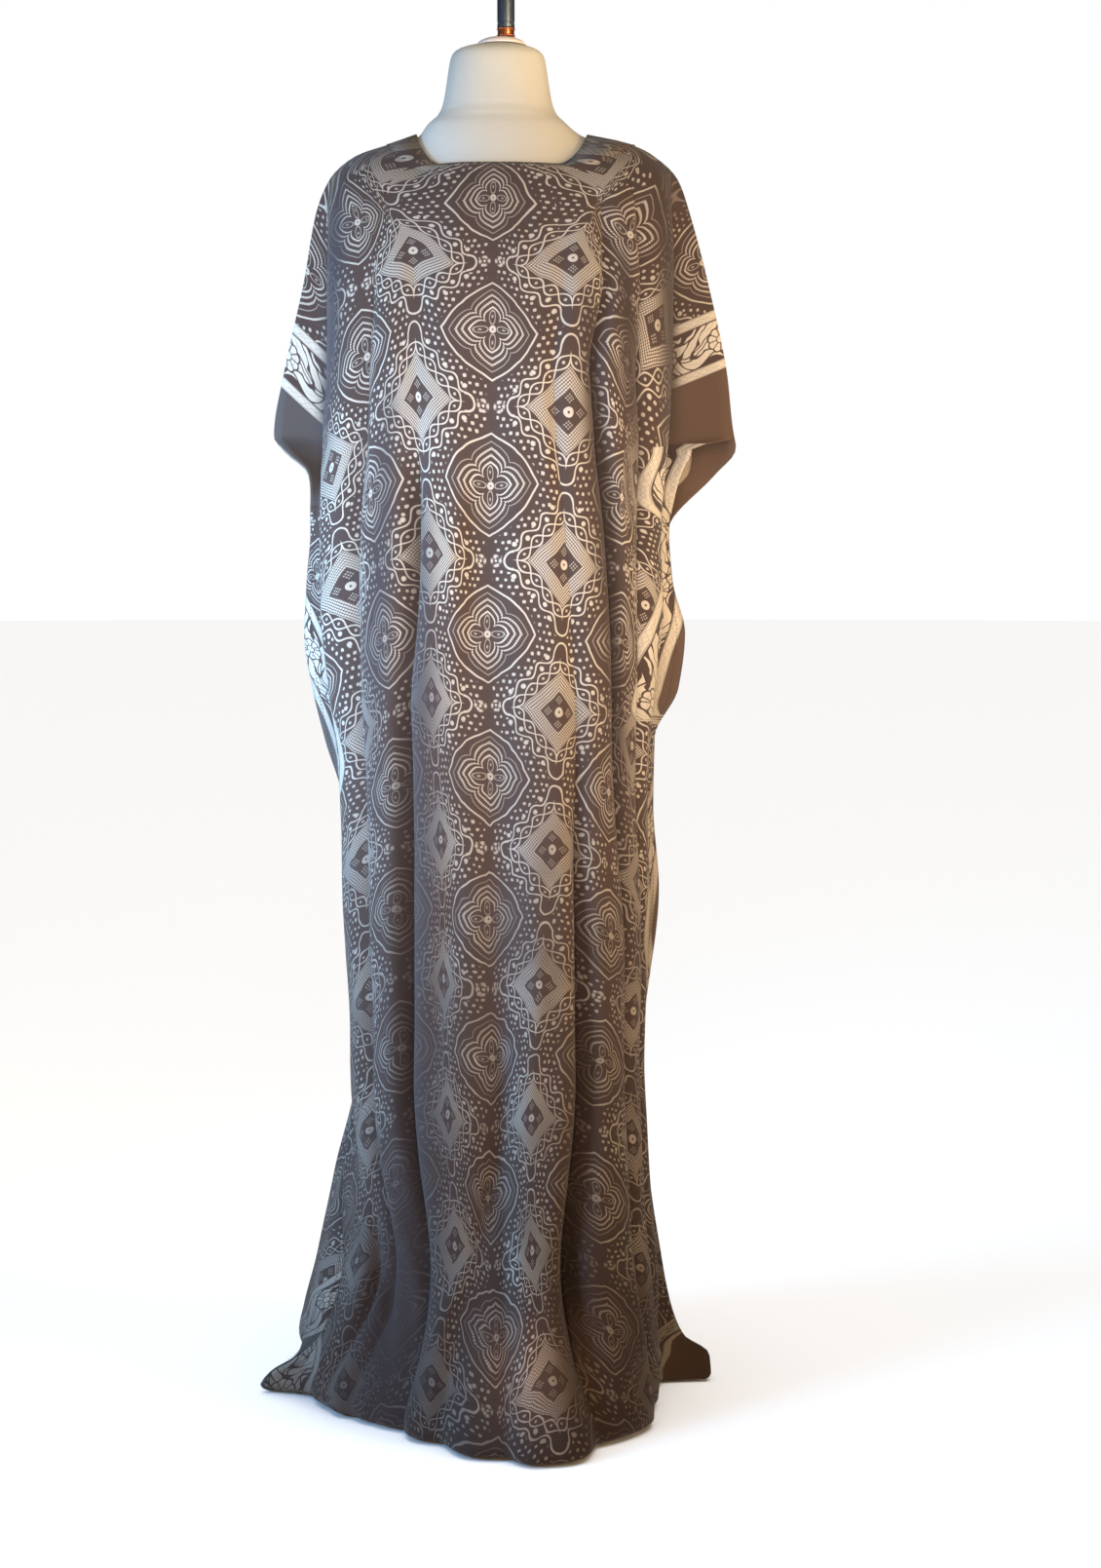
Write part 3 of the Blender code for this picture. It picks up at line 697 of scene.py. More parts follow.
class Shader:
    """A node tree, written as expressions."""

    def __init__(self, owner: Material | World, surface: str) -> None:
        """Opens the nodes of a material or a surround.

        Args:
            owner: what the nodes belong to.
            surface: the name of its main shader.
        """
        owner.use_nodes = True
        self.owner = owner
        self.tree = owner.node_tree
        self.surface = self.tree.nodes[surface]

    @classmethod
    def of_material(cls, name: str) -> "Shader":
        """Starts a material with its Principled shader."""
        return cls(bpy.data.materials.new(name), "Principled BSDF")

    def node(self, kind: str, settings: dict[str, object] | None = None,
             **sockets: object) -> bpy.types.Node:
        """Adds a node.

        Args:
            kind: the node's type.
            settings: its properties, set before its sockets.
            sockets: values or links, by the socket's name with _ for a space, or by inN for
                the one at place N.

        Returns:
            The node.
        """
        made = self.tree.nodes.new(kind)
        for name, value in (settings or {}).items():
            setattr(made, name, value)
        for name, value in sockets.items():
            place = int(name[2:]) if name[:2] == "in" and name[2:].isdigit() else None
            target = made.inputs[name.replace("_", " ") if place is None else place]
            self.feed(target, value)
        return made

    def feed(self, target: bpy.types.NodeSocket, value: object) -> None:
        """Links a socket to an input, or sets the input's own value."""
        if isinstance(value, Socket):
            self.tree.links.new(value.output, target)
        else:
            target.default_value = value

    def out(self, node: bpy.types.Node, place: int | str = 0) -> Socket:
        """A node's output, by its place or its name."""
        return Socket(self, node.outputs[place])

    def math(self, operation: str, *values: object, clamp: bool = False) -> Socket:
        """A Math node's result, kept from 0 to 1 if it is clamped."""
        settings = {"operation": operation, "use_clamp": clamp}
        sockets = {f"in{i}": value for i, value in enumerate(values)}
        return self.out(self.node("ShaderNodeMath", settings, **sockets))

    def mix(self, share: object, low: object, high: object, blend: str = "MIX") -> Socket:
        """A mix of two colours, by the share of the second."""
        settings = {"data_type": "RGBA", "blend_type": blend}
        return self.out(self.node("ShaderNodeMix", settings, in0=share, in6=low, in7=high), 2)

    def parts(self, vector: Socket) -> tuple[Socket, Socket, Socket]:
        """The three parts of a vector."""
        node = self.node("ShaderNodeSeparateXYZ", in0=vector)
        return self.out(node, 0), self.out(node, 1), self.out(node, 2)

    def place(self) -> Socket:
        """The point's place on the object, in metres."""
        return self.out(self.node("ShaderNodeTexCoord"), "Object")

    def uv(self, name: str) -> Socket:
        """The point's place on a UV map, in metres of cloth."""
        return self.out(self.node("ShaderNodeUVMap", {"uv_map": name}))

    def vector(self, x: object, y: object, z: object = 0.0) -> Socket:
        """A vector from its three parts."""
        return self.out(self.node("ShaderNodeCombineXYZ", in0=x, in1=y, in2=z))

    def noise(self, where: Socket | None, scale: float, detail: float = 2.0) -> Socket:
        """Smooth noise from 0 to 1, by default at the place on the object."""
        where = where or self.place()
        return self.out(self.node("ShaderNodeTexNoise", Vector=where, Scale=scale, Detail=detail))

    def cell(self, where: Socket) -> Socket:
        """A steady random number from 0 to 1 for a place."""
        settings = {"noise_dimensions": "3D"}
        return self.out(self.node("ShaderNodeTexWhiteNoise", settings, Vector=where))

    def bump(self, height: Socket, strength: float, distance: float) -> Socket:
        """A Bump node's normal."""
        return self.out(self.node("ShaderNodeBump", Height=height, Strength=strength,
                                  Distance=distance))

    def finish(self, **sockets: object) -> Material | World:
        """Feeds the main shader's sockets, with _ for a space, and returns what it belongs to."""
        for name, value in sockets.items():
            self.feed(self.surface.inputs[name.replace("_", " ")], value)
        return self.owner


Colour = tuple[float, float, float, float]


def paint(red: float, green: float, blue: float) -> Colour:
    """A colour given in the screen's 0 to 255, as the renderer reads it."""
    parts = (((c / 255 + 0.055) / 1.055) ** 2.4 if c > 10 else c / 3294 for c in (red, green, blue))
    return (*parts, 1.0)


@dataclass(frozen=True)
class Pen:
    """Draws what the print's motifs are made of, in millimetres of cloth."""

    soft: float = 0.45

    def line(self, distance: Socket, width: float) -> Socket:
        """A line of a width where the distance is nought."""
        return abs(distance).inside(width / 2, self.soft)

    def beads(self, distance: Socket, along: Socket, pitch: float, size: float) -> Socket:
        """A row of beads along a line."""
        return apart(distance, along.near(pitch)).inside(size / 2, self.soft)

    def oval(self, x: Socket, y: Socket, long: float, wide: float) -> Socket:
        """Distance outside an oval of two half-axes, about right near its edge."""
        return (apart(x / long, y / wide) - 1.0) * wide


class Line(NamedTuple):
    """A line or a row of beads of a motif: how far out it runs, its width and its ink."""

    out: float
    width: float
    ink: float = 1.0


@dataclass(frozen=True)
class Medallion(Pen):
    """The flower in its pointed frames."""

    frame: Line = Line(50.8, 2.1)
    frame_notch: float = 5.5
    rings: tuple[Line, ...] = (Line(43.0, 1.2, 0.5), Line(23.4, 2.2))
    beaded: tuple[Line, ...] = (Line(36.4, 2.7), Line(30.0, 2.8))
    ring_notch: float = 11.0
    bead_pitch: float = 3.1
    petal: tuple[float, float, float] = (12.4, 7.2, 3.4)
    petal_line: Line = Line(0.0, 0.8, 0.65)
    seed: tuple[float, float, float] = (13.5, 1.6, 1.1)
    seed_ink: float = 0.6
    clear: float = 5.0
    eye: Line = Line(2.6, 3.2)

    def draw(self, x: Socket, y: Socket) -> tuple[Socket, Socket]:
        """Draws the medallion.

        Args:
            x: distance across from its middle.
            y: distance down from it.

        Returns:
            Its ink, and how far out a point lies by its frames.
        """
        far, close = x.at_least(y), x.at_most(y)
        lean = close / (far + 0.01)
        base, notch = far + close * 0.5, lean * lean
        frame, ring = base + notch * self.frame_notch, base + notch * self.ring_notch
        along = far - close
        made = self.line(frame - self.frame.out, self.frame.width)
        for line in self.rings:
            made = made.at_least(self.line(ring - line.out, line.width) * line.ink)
        for row in self.beaded:
            made = made.at_least(self.beads(ring - row.out, along, self.bead_pitch, row.width))
        out, long, wide = self.petal
        petal = self.oval(far - out, close, long, wide)
        made = made.at_least(self.line(petal, self.petal_line.width) * self.petal_line.ink)
        out, long, wide = self.seed
        seed = self.oval(far - out, close, long, wide).inside(0.0, 1.0)
        made = made.at_least(seed * self.seed_ink)
        centre = apart(x, y)
        made = made * centre.outside(self.clear, 1.0)
        return made.at_least(self.line(centre - self.eye.out, self.eye.width)), frame


@dataclass(frozen=True)
class Lozenge(Pen):
    """The checked diamond in its chain and its wavy frame."""

    eye: Line = Line(3.2, 3.8)
    weave: float = 3.7
    plaque: float = 13.4
    plaque_half: float = 5.9
    plaque_ink: float = 0.75
    band: float = 32.2
    band_half: float = 10.6
    gap_ink: float = 0.38
    chain: Line = Line(52.5, 1.8)
    chain_swing: float = 7.0
    chain_link: float = 26.5
    knots_at: tuple[float, float] = (13.2, 39.7)
    knot: Line = Line(0.0, 3.0, 0.8)
    wave: Line = Line(68.6, 2.0)
    wave_swing: float = 5.2
    wave_pitch: float = 40.0
    tip: float = 57.0
    tip_round: float = 8.0
    foot: float = 64.0
    foot_round: float = 8.2
    slanted: tuple[float, float] = (0.72, 0.75)
    filling: tuple[tuple[float, float], ...] = ((0.0, 72.6), (39.5, 72.0), (20.5, 64.6))
    filling_size: float = 2.5

    def draw(self, x: Socket, y: Socket) -> tuple[Socket, Socket]:
        """Draws the diamond.

        Args:
            x: distance across from its middle.
            y: distance down from it.

        Returns:
            Its ink, and how far outside its wavy frame a point lies.
        """
        out, along = x + y, abs(x - y)
        made = self.line(apart(x, y) - self.eye.out, self.eye.width)
        made = made.at_least(self.checks(out, along)).at_least(self.links(out, along))
        frame = self.frame(x, y, out, along)
        return made.at_least(self.line(frame, self.wave.width)), frame

    def checks(self, out: Socket, along: Socket) -> Socket:
        """The four small plaques and the checked band round them.

        Args:
            out: how far out a point lies from the diamond's middle.
            along: how far it lies from the middle of its edge.

        Returns:
            Their ink.
        """
        half = self.weave / 2
        weft, warp = out.near(self.weave), along.near(self.weave)
        cell = abs(out - self.plaque).at_least(abs(along - self.plaque))
        plaque = cell.inside(self.plaque_half, 0.8) * weft.at_most(warp).outside(0.9, 0.7)
        band = abs(out - self.band).inside(self.band_half, self.soft)
        rows = abs(weft - half).inside(1.25, 0.5)
        cuts = abs(warp - half).inside(1.3, 0.5) * (1.0 - self.gap_ink) + self.gap_ink
        return (plaque * self.plaque_ink).at_least(band * rows * cuts)

    def links(self, out: Socket, along: Socket) -> Socket:
        """The chain round the checks, with a knot in each link.

        Args:
            out: how far out a point lies from the diamond's middle.
            along: how far it lies from the middle of its edge.

        Returns:
            Its ink.
        """
        off = out - self.chain.out
        swing = abs(along.wave(2 * self.chain_link))
        chain = (abs(off) - swing * self.chain_swing) * self.slanted[0]
        first, second = self.knots_at
        eyes = abs(along - first).at_most(abs(along - second))
        knots = (off * off * 0.5 + eyes * eyes * 0.5).root().inside(self.knot.width / 2, self.soft)
        return self.line(chain, self.chain.width).at_least(knots * self.knot.ink)

    def frame(self, x: Socket, y: Socket, out: Socket, along: Socket) -> Socket:
        """The wavy frame, with rounded tips at its sides and a round foot and head.

        Args:
            x: distance across from the diamond's middle.
            y: distance down from it.
            out: how far out a point lies from the middle.
            along: how far it lies from the middle of its edge.

        Returns:
            How far outside it a point lies.
        """
        sway = (along * (2 * math.pi / self.wave_pitch)).cosine() * self.wave_swing
        beyond = x - self.tip
        past = beyond.at_least(0.0)
        tip = (past * past + y * y * 0.8).root() - self.tip_round
        waves = ((out - self.wave.out + sway) * self.slanted[1]).at_least(tip.at_most(beyond))
        return waves.at_most(apart(x, (y - self.foot).at_least(0.0)) - self.foot_round)

    def dots(self, x: Socket, y: Socket) -> Socket:
        """The larger dots that fill the bays of the wavy frame.

        Args:
            x: distance across from the diamond's middle.
            y: distance down from it.

        Returns:
            Their ink.
        """
        out, along, slant = x + y, abs(x - y), self.slanted[0]
        made = None
        for offset, reach in self.filling:
            spot = self.oval((out - reach) * slant, (along - offset) * slant,
                             self.filling_size, self.filling_size)
            dot = spot.inside(0.0, 0.8)
            made = dot if made is None else made.at_least(dot)
        return made


@dataclass(frozen=True)
class Border(Pen):
    """The border: two narrow scribbled bands with flowers and leaves between them."""

    strip: float = 66.0
    band: float = 13.0
    scroll: float = 48.0
    pitch: float = 68.0
    petals: int = 9
    flower: float = 12.6
    petal_rise: float = 1.9
    heart: Line = Line(4.9, 1.3, 0.85)
    whorl: Line = Line(9.6, 0.7, 0.25)
    rail: Line = Line(4.7, 0.9, 0.5)
    scribble: Line = Line(0.0, 0.9, 0.34)
    stem: Line = Line(2.4, 1.7)
    leaf_end: Line = Line(20.0, 2.0)
    leaf_pitch: float = 17.0
    leaf_middle: float = 10.5
    leaf_gap: float = 2.2

    def width(self) -> float:
        """How far the border reaches in from the selvedge."""
        return self.strip + 2 * self.band + self.scroll

    def draw(self, b: Socket, along: Socket) -> Socket:
        """Draws the border, from the plain strip inwards.

        Args:
            b: distance from the selvedge.
            along: distance along the selvedge.

        Returns:
            The share of ink at each point of the border.
        """
        made = None
        for middle in (self.strip + self.band / 2, self.strip + self.band * 1.5 + self.scroll):
            off = b - middle
            sway = (along * 0.42).sine() * 2.4 + (along * 0.19).sine() * 1.1
            scribble = self.line(off - sway, self.scribble.width).at_least(
                self.line(off + sway, self.scribble.width))
            rails = self.line(abs(off) - self.rail.out, self.rail.width)
            band = abs(off).inside(self.band / 2 - 0.9, 0.7)
            worked = band * (1.0 - scribble * self.scribble.ink - rails * self.rail.ink)
            made = worked if made is None else made.at_least(worked)
        return made.at_least(self.garland(b - (self.strip + self.band + self.scroll / 2), along))

    def rose(self, off: Socket, nearest: Socket) -> tuple[Socket, Socket]:
        """A flower of round petals.

        Args:
            off: distance from the garland's middle line.
            nearest: distance along it from the nearest flower.

        Returns:
            Its ink, and how far outside its petals a point lies.
        """
        out = apart(nearest, off)
        lobe = abs((off.angle(nearest) * (self.petals / 2)).sine())
        edge = self.flower + lobe * self.petal_rise
        ray = (out * lobe * (2 / self.petals)).inside(0.75, 0.6) * out.outside(4.6, 0.6)
        made = (out - edge).inside(0.0, 0.8) * (1.0 - ray * 0.85)
        for line in (self.heart, self.whorl):
            made = made * (1.0 - self.line(out - line.out, line.width) * line.ink)
        return made, out - edge

    def garland(self, off: Socket, along: Socket) -> Socket:
        """The flowers and leaves between the two narrow bands.

        Args:
            off: distance from the garland's middle line.
            along: distance along the selvedge.

        Returns:
            The share of ink.
        """
        shader = off.shader
        rose, outside = self.rose(off, along.near(self.pitch))
        blot = shader.noise(shader.vector(along, off, 4.0), 0.07, 1.0) - 0.5
        drift = (along * (2 * math.pi / self.pitch) + 0.9).sine()
        away = abs(off - drift * 8.5 + blot * 5.0)
        tilt = away * 0.85 + away * away * 0.018
        vein = (along + tilt + blot * 14.0 + drift * 5.0).near(self.leaf_pitch)
        plump = abs(away - self.leaf_middle)
        leaves = 1.0 - self.line(vein, self.leaf_gap + plump * plump * 0.045)
        for line in (self.stem, self.leaf_end):
            leaves = leaves * (1.0 - self.line(away - line.out, line.width))
        rib = self.line(vein - self.leaf_pitch / 2, 0.5) * plump.inside(3.6, 1.6)
        leaves = leaves * (1.0 - rib * 0.6)
        field_ink = abs(off).inside(self.scroll / 2 - 0.8, 0.7)
        return rose.at_least(leaves * (1.0 - (outside - 1.0).inside(0.9, 0.7))) * field_ink


class Zones(NamedTuple):
    """How much a point belongs to each zone of wear and of painted shade and light, from 0 to 1."""

    # Towards the hem, where shade is painted.
    low: Socket
    # The left side, where a bluish light and shade are painted.
    left: Socket
    high: Socket
    # Low on the right, where the print is brightened as painted light.
    hem: Socket
    seam: Socket
    # The shade painted into the folds.
    crease: Socket


@dataclass(frozen=True)
class BaatiPrint(Pen):
    """The printed cotton: motifs on dots, border, wear, and the shade and light painted on it.

    The motifs are in millimetres, and the two UV maps are in metres.
    """

    wide: float = 166.0
    high: float = 152.0
    medallion: Medallion = Medallion()
    lozenge: Lozenge = Lozenge()
    edging: Border = Border()
    dot_pitch: float = 7.6
    dot_size: float = 1.35
    wobble: float = 1.3
    thread_pitch: float = 0.7
    ground: Colour = paint(74, 58, 52)
    ink: Colour = paint(200, 188, 172)
    cream: Colour = paint(212, 201, 184)
    plain: Colour = paint(92, 72, 60)
    # Painted light and shade: the plain strip's colour on the left under a bluish light, then the
    # two colours of the shade painted into the folds.
    plain_left: Colour = paint(84, 76, 72)
    painted_shade_dark: Colour = paint(36, 30, 29)
    painted_shade_cool: Colour = paint(46, 52, 64)
    faded: Colour = (0.72, 0.70, 0.70, 1.0)
    fresh: Colour = (1.22, 1.20, 1.18, 1.0)
    strength: float = 1.0

    def rosettes(self, x: Socket, y: Socket) -> Socket:
        """The pair of small round rosettes between two diamonds of a row.

        Args:
            x: distance across from a diamond's middle.
            y: distance down from it.

        Returns:
            Their ink.
        """
        across = x - (self.wide / 2 - 9.0)
        centre = apart(across, y)
        petals = (y.angle(across) * 4.0).cosine() * 0.5 + 0.5
        return (petals * abs(centre - 4.9).inside(1.5, 0.8)).at_least(centre.inside(1.5, 0.8))

    def ground_dots(self, u: Socket, v: Socket) -> Socket:
        """The small uneven dots of the ground.

        Args:
            u: across the cloth.
            v: down the cloth.

        Returns:
            Their ink.
        """
        shader, pitch = u.shader, self.dot_pitch
        row = (v / pitch).floor()
        shifted = u / pitch + row * 0.5
        column = shifted.floor()
        chance = shader.cell(shader.vector(column, row, 3.0))
        other = shader.cell(shader.vector(column, row, 8.0))
        x = (shifted - column - 0.5) * pitch + (chance - 0.5) * 2.0
        y = (v / pitch - row - 0.5) * pitch + (other - 0.5) * 2.0
        size = self.dot_size + chance * 0.55
        return (abs(x).at_least(abs(y)) + apart(x, y)).inside(size * 2, 0.9)

    def motifs(self, u: Socket, v: Socket) -> Socket:
        """The ink of the main print.

        Args:
            u: across the cloth.
            v: down the cloth.

        Returns:
            The share of ink at each point.
        """
        x, y = u.near(self.wide), v.near(self.high)
        across, down = self.wide / 2 - x, self.high / 2 - y
        flower, flower_frame = self.medallion.draw(x, y)
        diamond, diamond_frame = self.lozenge.draw(across, down)
        filling = self.lozenge.dots(across, down)
        free = flower_frame.outside(56.5, 1.0) * diamond_frame.outside(3.6, 1.0)
        free = free * (1.0 - filling) * across.inside(77.0, 1.0)
        made = flower.at_least(diamond).at_least(filling).at_least(self.rosettes(across, down))
        return made.at_least(self.ground_dots(u, v) * free * 0.9)

    def zones(self, shader: Shader) -> Zones:
        """Where the dress is worn and where shade and light are painted on it, by height and side.

        Args:
            shader: the material's nodes.

        Returns:
            The zones.
        """
        x, _, z = shader.parts(shader.place())
        # The left side takes a painted bluish light and shade.
        left = x.falling(-0.02, 0.14)
        seam = z.rising(1.335, 0.03)
        shoulder_tip = x.rising(0.163, 0.014) * z.rising(1.283, 0.018)
        # The shade painted into the folds, from the cloth's crease attribute.
        crease = shader.node("ShaderNodeAttribute", {"attribute_name": "crease"})
        return Zones(
            low=z.falling(0.88, 0.34), left=left, high=z.rising(1.12, 0.16),
            hem=z.falling(0.24, 0.18) * (1.0 - left), seam=seam.at_least(shoulder_tip * 1.5),
            crease=shader.out(crease, "Fac"),
        )

    def worn_ink(self, ink: Socket, in_border: Socket, zones: Zones) -> Socket:
        """Thins the ink as painted shade: low on the dress and more on its left, in blotches low
        down for the shade of small wrinkles, and far down in the folds; brightens it near the hem
        on the right as painted light; thins it a little high up outside the border, and along the
        shoulders.

        Args:
            ink: the print as it came off the block.
            in_border: 1 in the border, 0 in the main print.
            zones: where the point lies.

        Returns:
            The ink that still shows.
        """
        low, left = zones.low, zones.left
        # Painted shade: the print thins low down, more on the left, and nearly vanishes in the
        # folds.
        ink = ink * (1.0 - low * (0.34 + left * 0.12)) * (1.0 - zones.crease * 0.93)
        # Painted light: the print brighter again near the hem on the right.
        ink = ink * (1.0 + zones.hem * 0.45)
        # Painted shade of small wrinkles: blotches where the print thins low down.
        painted_wrinkle_shade = ink.shader.noise(None, 13.0, 2.0).rising(0.44, 0.25)
        ink = ink * (1.0 - zones.high * 0.16 * (1.0 - in_border)) * (1.0 - low * painted_wrinkle_shade * 0.42)
        return ink * (1.0 - zones.seam * 0.5)

    def material(self, name: str) -> Material:
        """Builds the cloth's material.

        Args:
            name: the material's name.

        Returns:
            The material, which reads the cloth's two UV maps.
        """
        shader = Shader.of_material(name)
        u, v, _ = (part * 1000.0 for part in shader.parts(shader.uv("print")))
        b, along, _ = (part * 1000.0 for part in shader.parts(shader.uv("edge")))
        zones = self.zones(shader)
        low, left = zones.low, zones.left
        swing = (low * 2.2 + 1.0) * (self.wobble * 2.0)
        across = shader.noise(shader.vector(u, v, 5.0), 0.055, 1.0) - 0.5
        down = shader.noise(shader.vector(u, v, 55.0), 0.055, 1.0) - 0.5
        u, v = u + across * swing, v + down * swing
        in_border = b.inside(self.edging.width(), self.soft)
        in_strip = b.inside(self.edging.strip, self.soft)
        ink = self.motifs(u, v) * (1.0 - in_border)
        ink = ink + self.edging.draw(b, along) * in_border * (1.0 - in_strip)
        ink = self.worn_ink(ink.at_least(b.inside(2.6, 0.8) * 0.55), in_border, zones)
        fade = shader.noise(None, 9.0, 3.0)
        grain = shader.noise(None, 420.0, 1.0)
        ink = ink * (0.80 + fade * 0.22 + grain * 0.10) * self.strength
        # Painted light: the plain strip takes a cooler, greyer colour on the left, where a bluish
        # light falls.
        cloth = shader.mix(in_strip, self.ground, shader.mix(left, self.plain, self.plain_left))
        cloudy = shader.mix((fade * 0.5 + grain * 0.35).at_most(1.0), self.faded, self.fresh)
        cloth = shader.mix(1.0, cloth, cloudy, "MULTIPLY")
        colour = shader.mix(ink, cloth, shader.mix(in_border, self.ink, self.cream))
        # Painted shade: the colour darkens in the folds, bluish on the left, and less low down.
        sunk = shader.mix(left, self.painted_shade_dark, self.painted_shade_cool)
        colour = shader.mix(zones.crease * (0.36 + left * 0.18) * (1.0 - low * 0.6), colour, sunk)
        threads = u.wave(self.thread_pitch) * v.wave(self.thread_pitch)
        height = threads * 0.06 + shader.noise(None, 26.0, 3.0) + ink * 0.10
        return shader.finish(
            Base_Color=colour, Roughness=0.80 + grain * 0.10 - ink * 0.06,
            Normal=shader.bump(height, 0.35, 0.0016), Sheen_Weight=0.12, Sheen_Roughness=0.5,
            Specular_IOR_Level=0.35,
        )


@dataclass(frozen=True)
class Jersey:
    """The form's smooth cream cover."""

    light: Colour = paint(200, 193, 180)
    dull: Colour = paint(185, 177, 162)
    stitch: tuple[float, float] = (3600.0, 3200.0)

    def material(self) -> Material:
        """Builds the cover's material, on the place on the object."""
        shader = Shader.of_material("cream_jersey")
        x, y, z = shader.parts(shader.place())
        patch = shader.noise(None, 14.0, 4.0)
        grain = shader.noise(None, 500.0, 2.0)
        colour = shader.mix((patch * 0.8 + grain * 0.25).at_most(1.0), self.dull, self.light)
        knit = ((x + y) * self.stitch[0]).sine() * (z * self.stitch[1]).sine()
        normal = shader.bump(knit * 0.25 + grain * 0.5 + patch * 1.2, 0.25, 0.0008)
        return shader.finish(Base_Color=colour, Roughness=0.72 + grain * 0.12, Normal=normal,
                             Sheen_Weight=0.15)


@dataclass(frozen=True)
class Worn:
    """A metal, plaster or thread finish with fine wear."""

    name: str
    colour: Colour
    worn: Colour
    roughness: float
    metallic: float = 0.0
    scale: float = 60.0
    stretch: tuple[float, float, float] = (1.0, 1.0, 1.0)

    def material(self) -> Material:
        """Builds the finish, on the place on the object."""
        shader = Shader.of_material(self.name)
        where = shader.out(shader.node("ShaderNodeMapping", Vector=shader.place(),
                                       Scale=self.stretch))
        patch = shader.noise(where, self.scale, 3.0)
        fine = shader.noise(where, self.scale * 9, 2.0)
        wear = (patch - 0.45).at_least(0.0) * 2.2
        colour = shader.mix((wear + fine * 0.15).at_most(1.0), self.colour, self.worn)
        normal = shader.bump(patch * 0.6 + fine * 0.4, 0.12, 0.0005)
        return shader.finish(
            Base_Color=colour, Roughness=self.roughness - 0.06 + fine * 0.12 + wear * 0.1,
            Normal=normal, Metallic=self.metallic,
        )


def new_piece(name: str, shape: BMesh, *materials: Material,
              slot: str) -> Object:
    """Makes a piece that stands with the frame.

    Args:
        name: the piece's name.
        shape: its shape, freed here.
        materials: its materials, in order.
        slot: the record's material slot; not used.

    Returns:
        The piece.
    """
    mesh = bpy.data.meshes.new(name)
    shape.to_mesh(mesh)
    shape.free()
    piece = bpy.data.objects.new(name, mesh)
    bpy.context.scene.collection.objects.link(piece)
    for material in materials:
        mesh.materials.append(material)
    mesh.shade_smooth()
    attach(piece, "root")
    return piece


class PrintMap:
    """Lays the print on the front by its motifs, which the folds draw together and apart."""

    above: float = 0.05
    below: float = 1.50

    def __init__(self, wide: float, high: float) -> None:
        """Turns the marks into curves down the front.

        Args:
            wide: the print's repeat across, in metres.
            high: its repeat down.
        """
        self.places = [half * wide / 2 for half in sorted(FRONT_PRINT)]
        self.turns, self.falls = [], []
        for half in sorted(FRONT_PRINT):
            marks = [Mark(*mark) for mark in FRONT_PRINT[half]]
            first, last = marks[0], marks[-1]
            top = Mark(first.row - (first.run + self.above) / high, first.turn, -self.above)
            foot = Mark(last.row + (self.below - last.run) / high, last.turn, self.below)
            marks = [top, *marks, foot]
            runs = [m.run for m in marks]
            self.turns.append(Curve(runs, [math.radians(m.turn) for m in marks]))
            self.falls.append(Curve(runs, [m.row * high for m in marks]))

    def curves(self, run: float) -> tuple[Curve, Curve]:
        """The print's place across and its place down over the turn, at one level."""
        turns = [curve(run) for curve in self.turns]
        return Curve(turns, self.places), Curve(turns, [curve(run) for curve in self.falls])

    def reach(self, run: float) -> tuple[float, float]:
        """The turns of the outermost marks at one level."""
        return self.turns[0](run), self.turns[-1](run)


class Cloth:
    """One cloth as a sheet of rows and columns, with room for its print."""

    def __init__(self, drape: Drape, panel: Panel, rows: int, steps: int) -> None:
        """Lays the sheet on the drape's rings.

        Args:
            drape: the form in which it hangs.
            panel: which cloth.
            rows: its rows of points.
            steps: columns from one crease to the next.
        """
        self.panel, self.rows, self.steps = panel, rows, steps
        self.levels = [drape.runs[-1] * i / (rows - 1) for i in range(rows)]
        self.rings = [drape.ring(panel, run, steps) for run in self.levels]
        self.columns = len(self.rings[0])
        self.middle = (self.columns - 1) // 2
        self.sheet = bmesh.new()
        self.marks = [self.sheet.verts.layers.int.new(name) for name in ("row", "column")]
        # The crease attribute holds the shade painted into the folds.
        self.shade = self.sheet.verts.layers.float.new("crease")
        for name in ("print", "edge"):
            self.sheet.loops.layers.uv.new(name)
        bmesh.ops.create_grid(self.sheet, x_segments=self.columns - 1, y_segments=rows - 1,
                              size=0.5)
        self.table: list[list[BMVert]] = [[None] * self.columns for _ in self.levels]
        for vert in self.sheet.verts:
            column = round((vert.co.x + 0.5) * (self.columns - 1))
            row = round((0.5 - vert.co.y) * (rows - 1))
            self.table[row][column] = vert
            vert[self.marks[0]], vert[self.marks[1]] = row, column
        for verts, ring in zip(self.table, self.rings):
            for vert, spot in zip(verts, ring):
                vert.co = spot[0]
        if panel is Panel.BACK:
            bmesh.ops.reverse_faces(self.sheet, faces=self.sheet.faces)
        self.sheet.normal_update()

    def spot(self, vert: BMVert) -> tuple[int, int]:
        """The row and the column of a point."""
        return vert[self.marks[0]], vert[self.marks[1]]

    def edge_column(self, side: Side, inward: int = 0) -> int:
        """The column at an edge, or some columns in from it."""
        return inward if side is Side.LEFT else self.columns - 1 - inward

    def arcs(self, row: int) -> tuple[np.ndarray, np.ndarray]:
        """The points of a row and how far each lies along it from the left edge."""
        points = np.array([v.co for v in self.table[row]])
        steps = np.linalg.norm(np.diff(points, axis=0), axis=1)
        return points, np.concatenate([[0], np.cumsum(steps)])


class Laid:
    """Where each point of a cloth lies when the printed cloth is flat, in metres."""

    def __init__(self, rows: int, columns: int) -> None:
        """Makes empty tables.

        Args:
            rows: the cloth's rows.
            columns: its columns.
        """
        self.body, self.sleeve, self.edge = (np.zeros((rows, columns, 2)) for _ in range(3))
        self.onward, self.weight = (np.zeros((rows, columns)) for _ in range(2))
        self.on_sleeve = np.zeros((rows, columns), bool)
        self.fold = {side: 0.0 for side in Side}


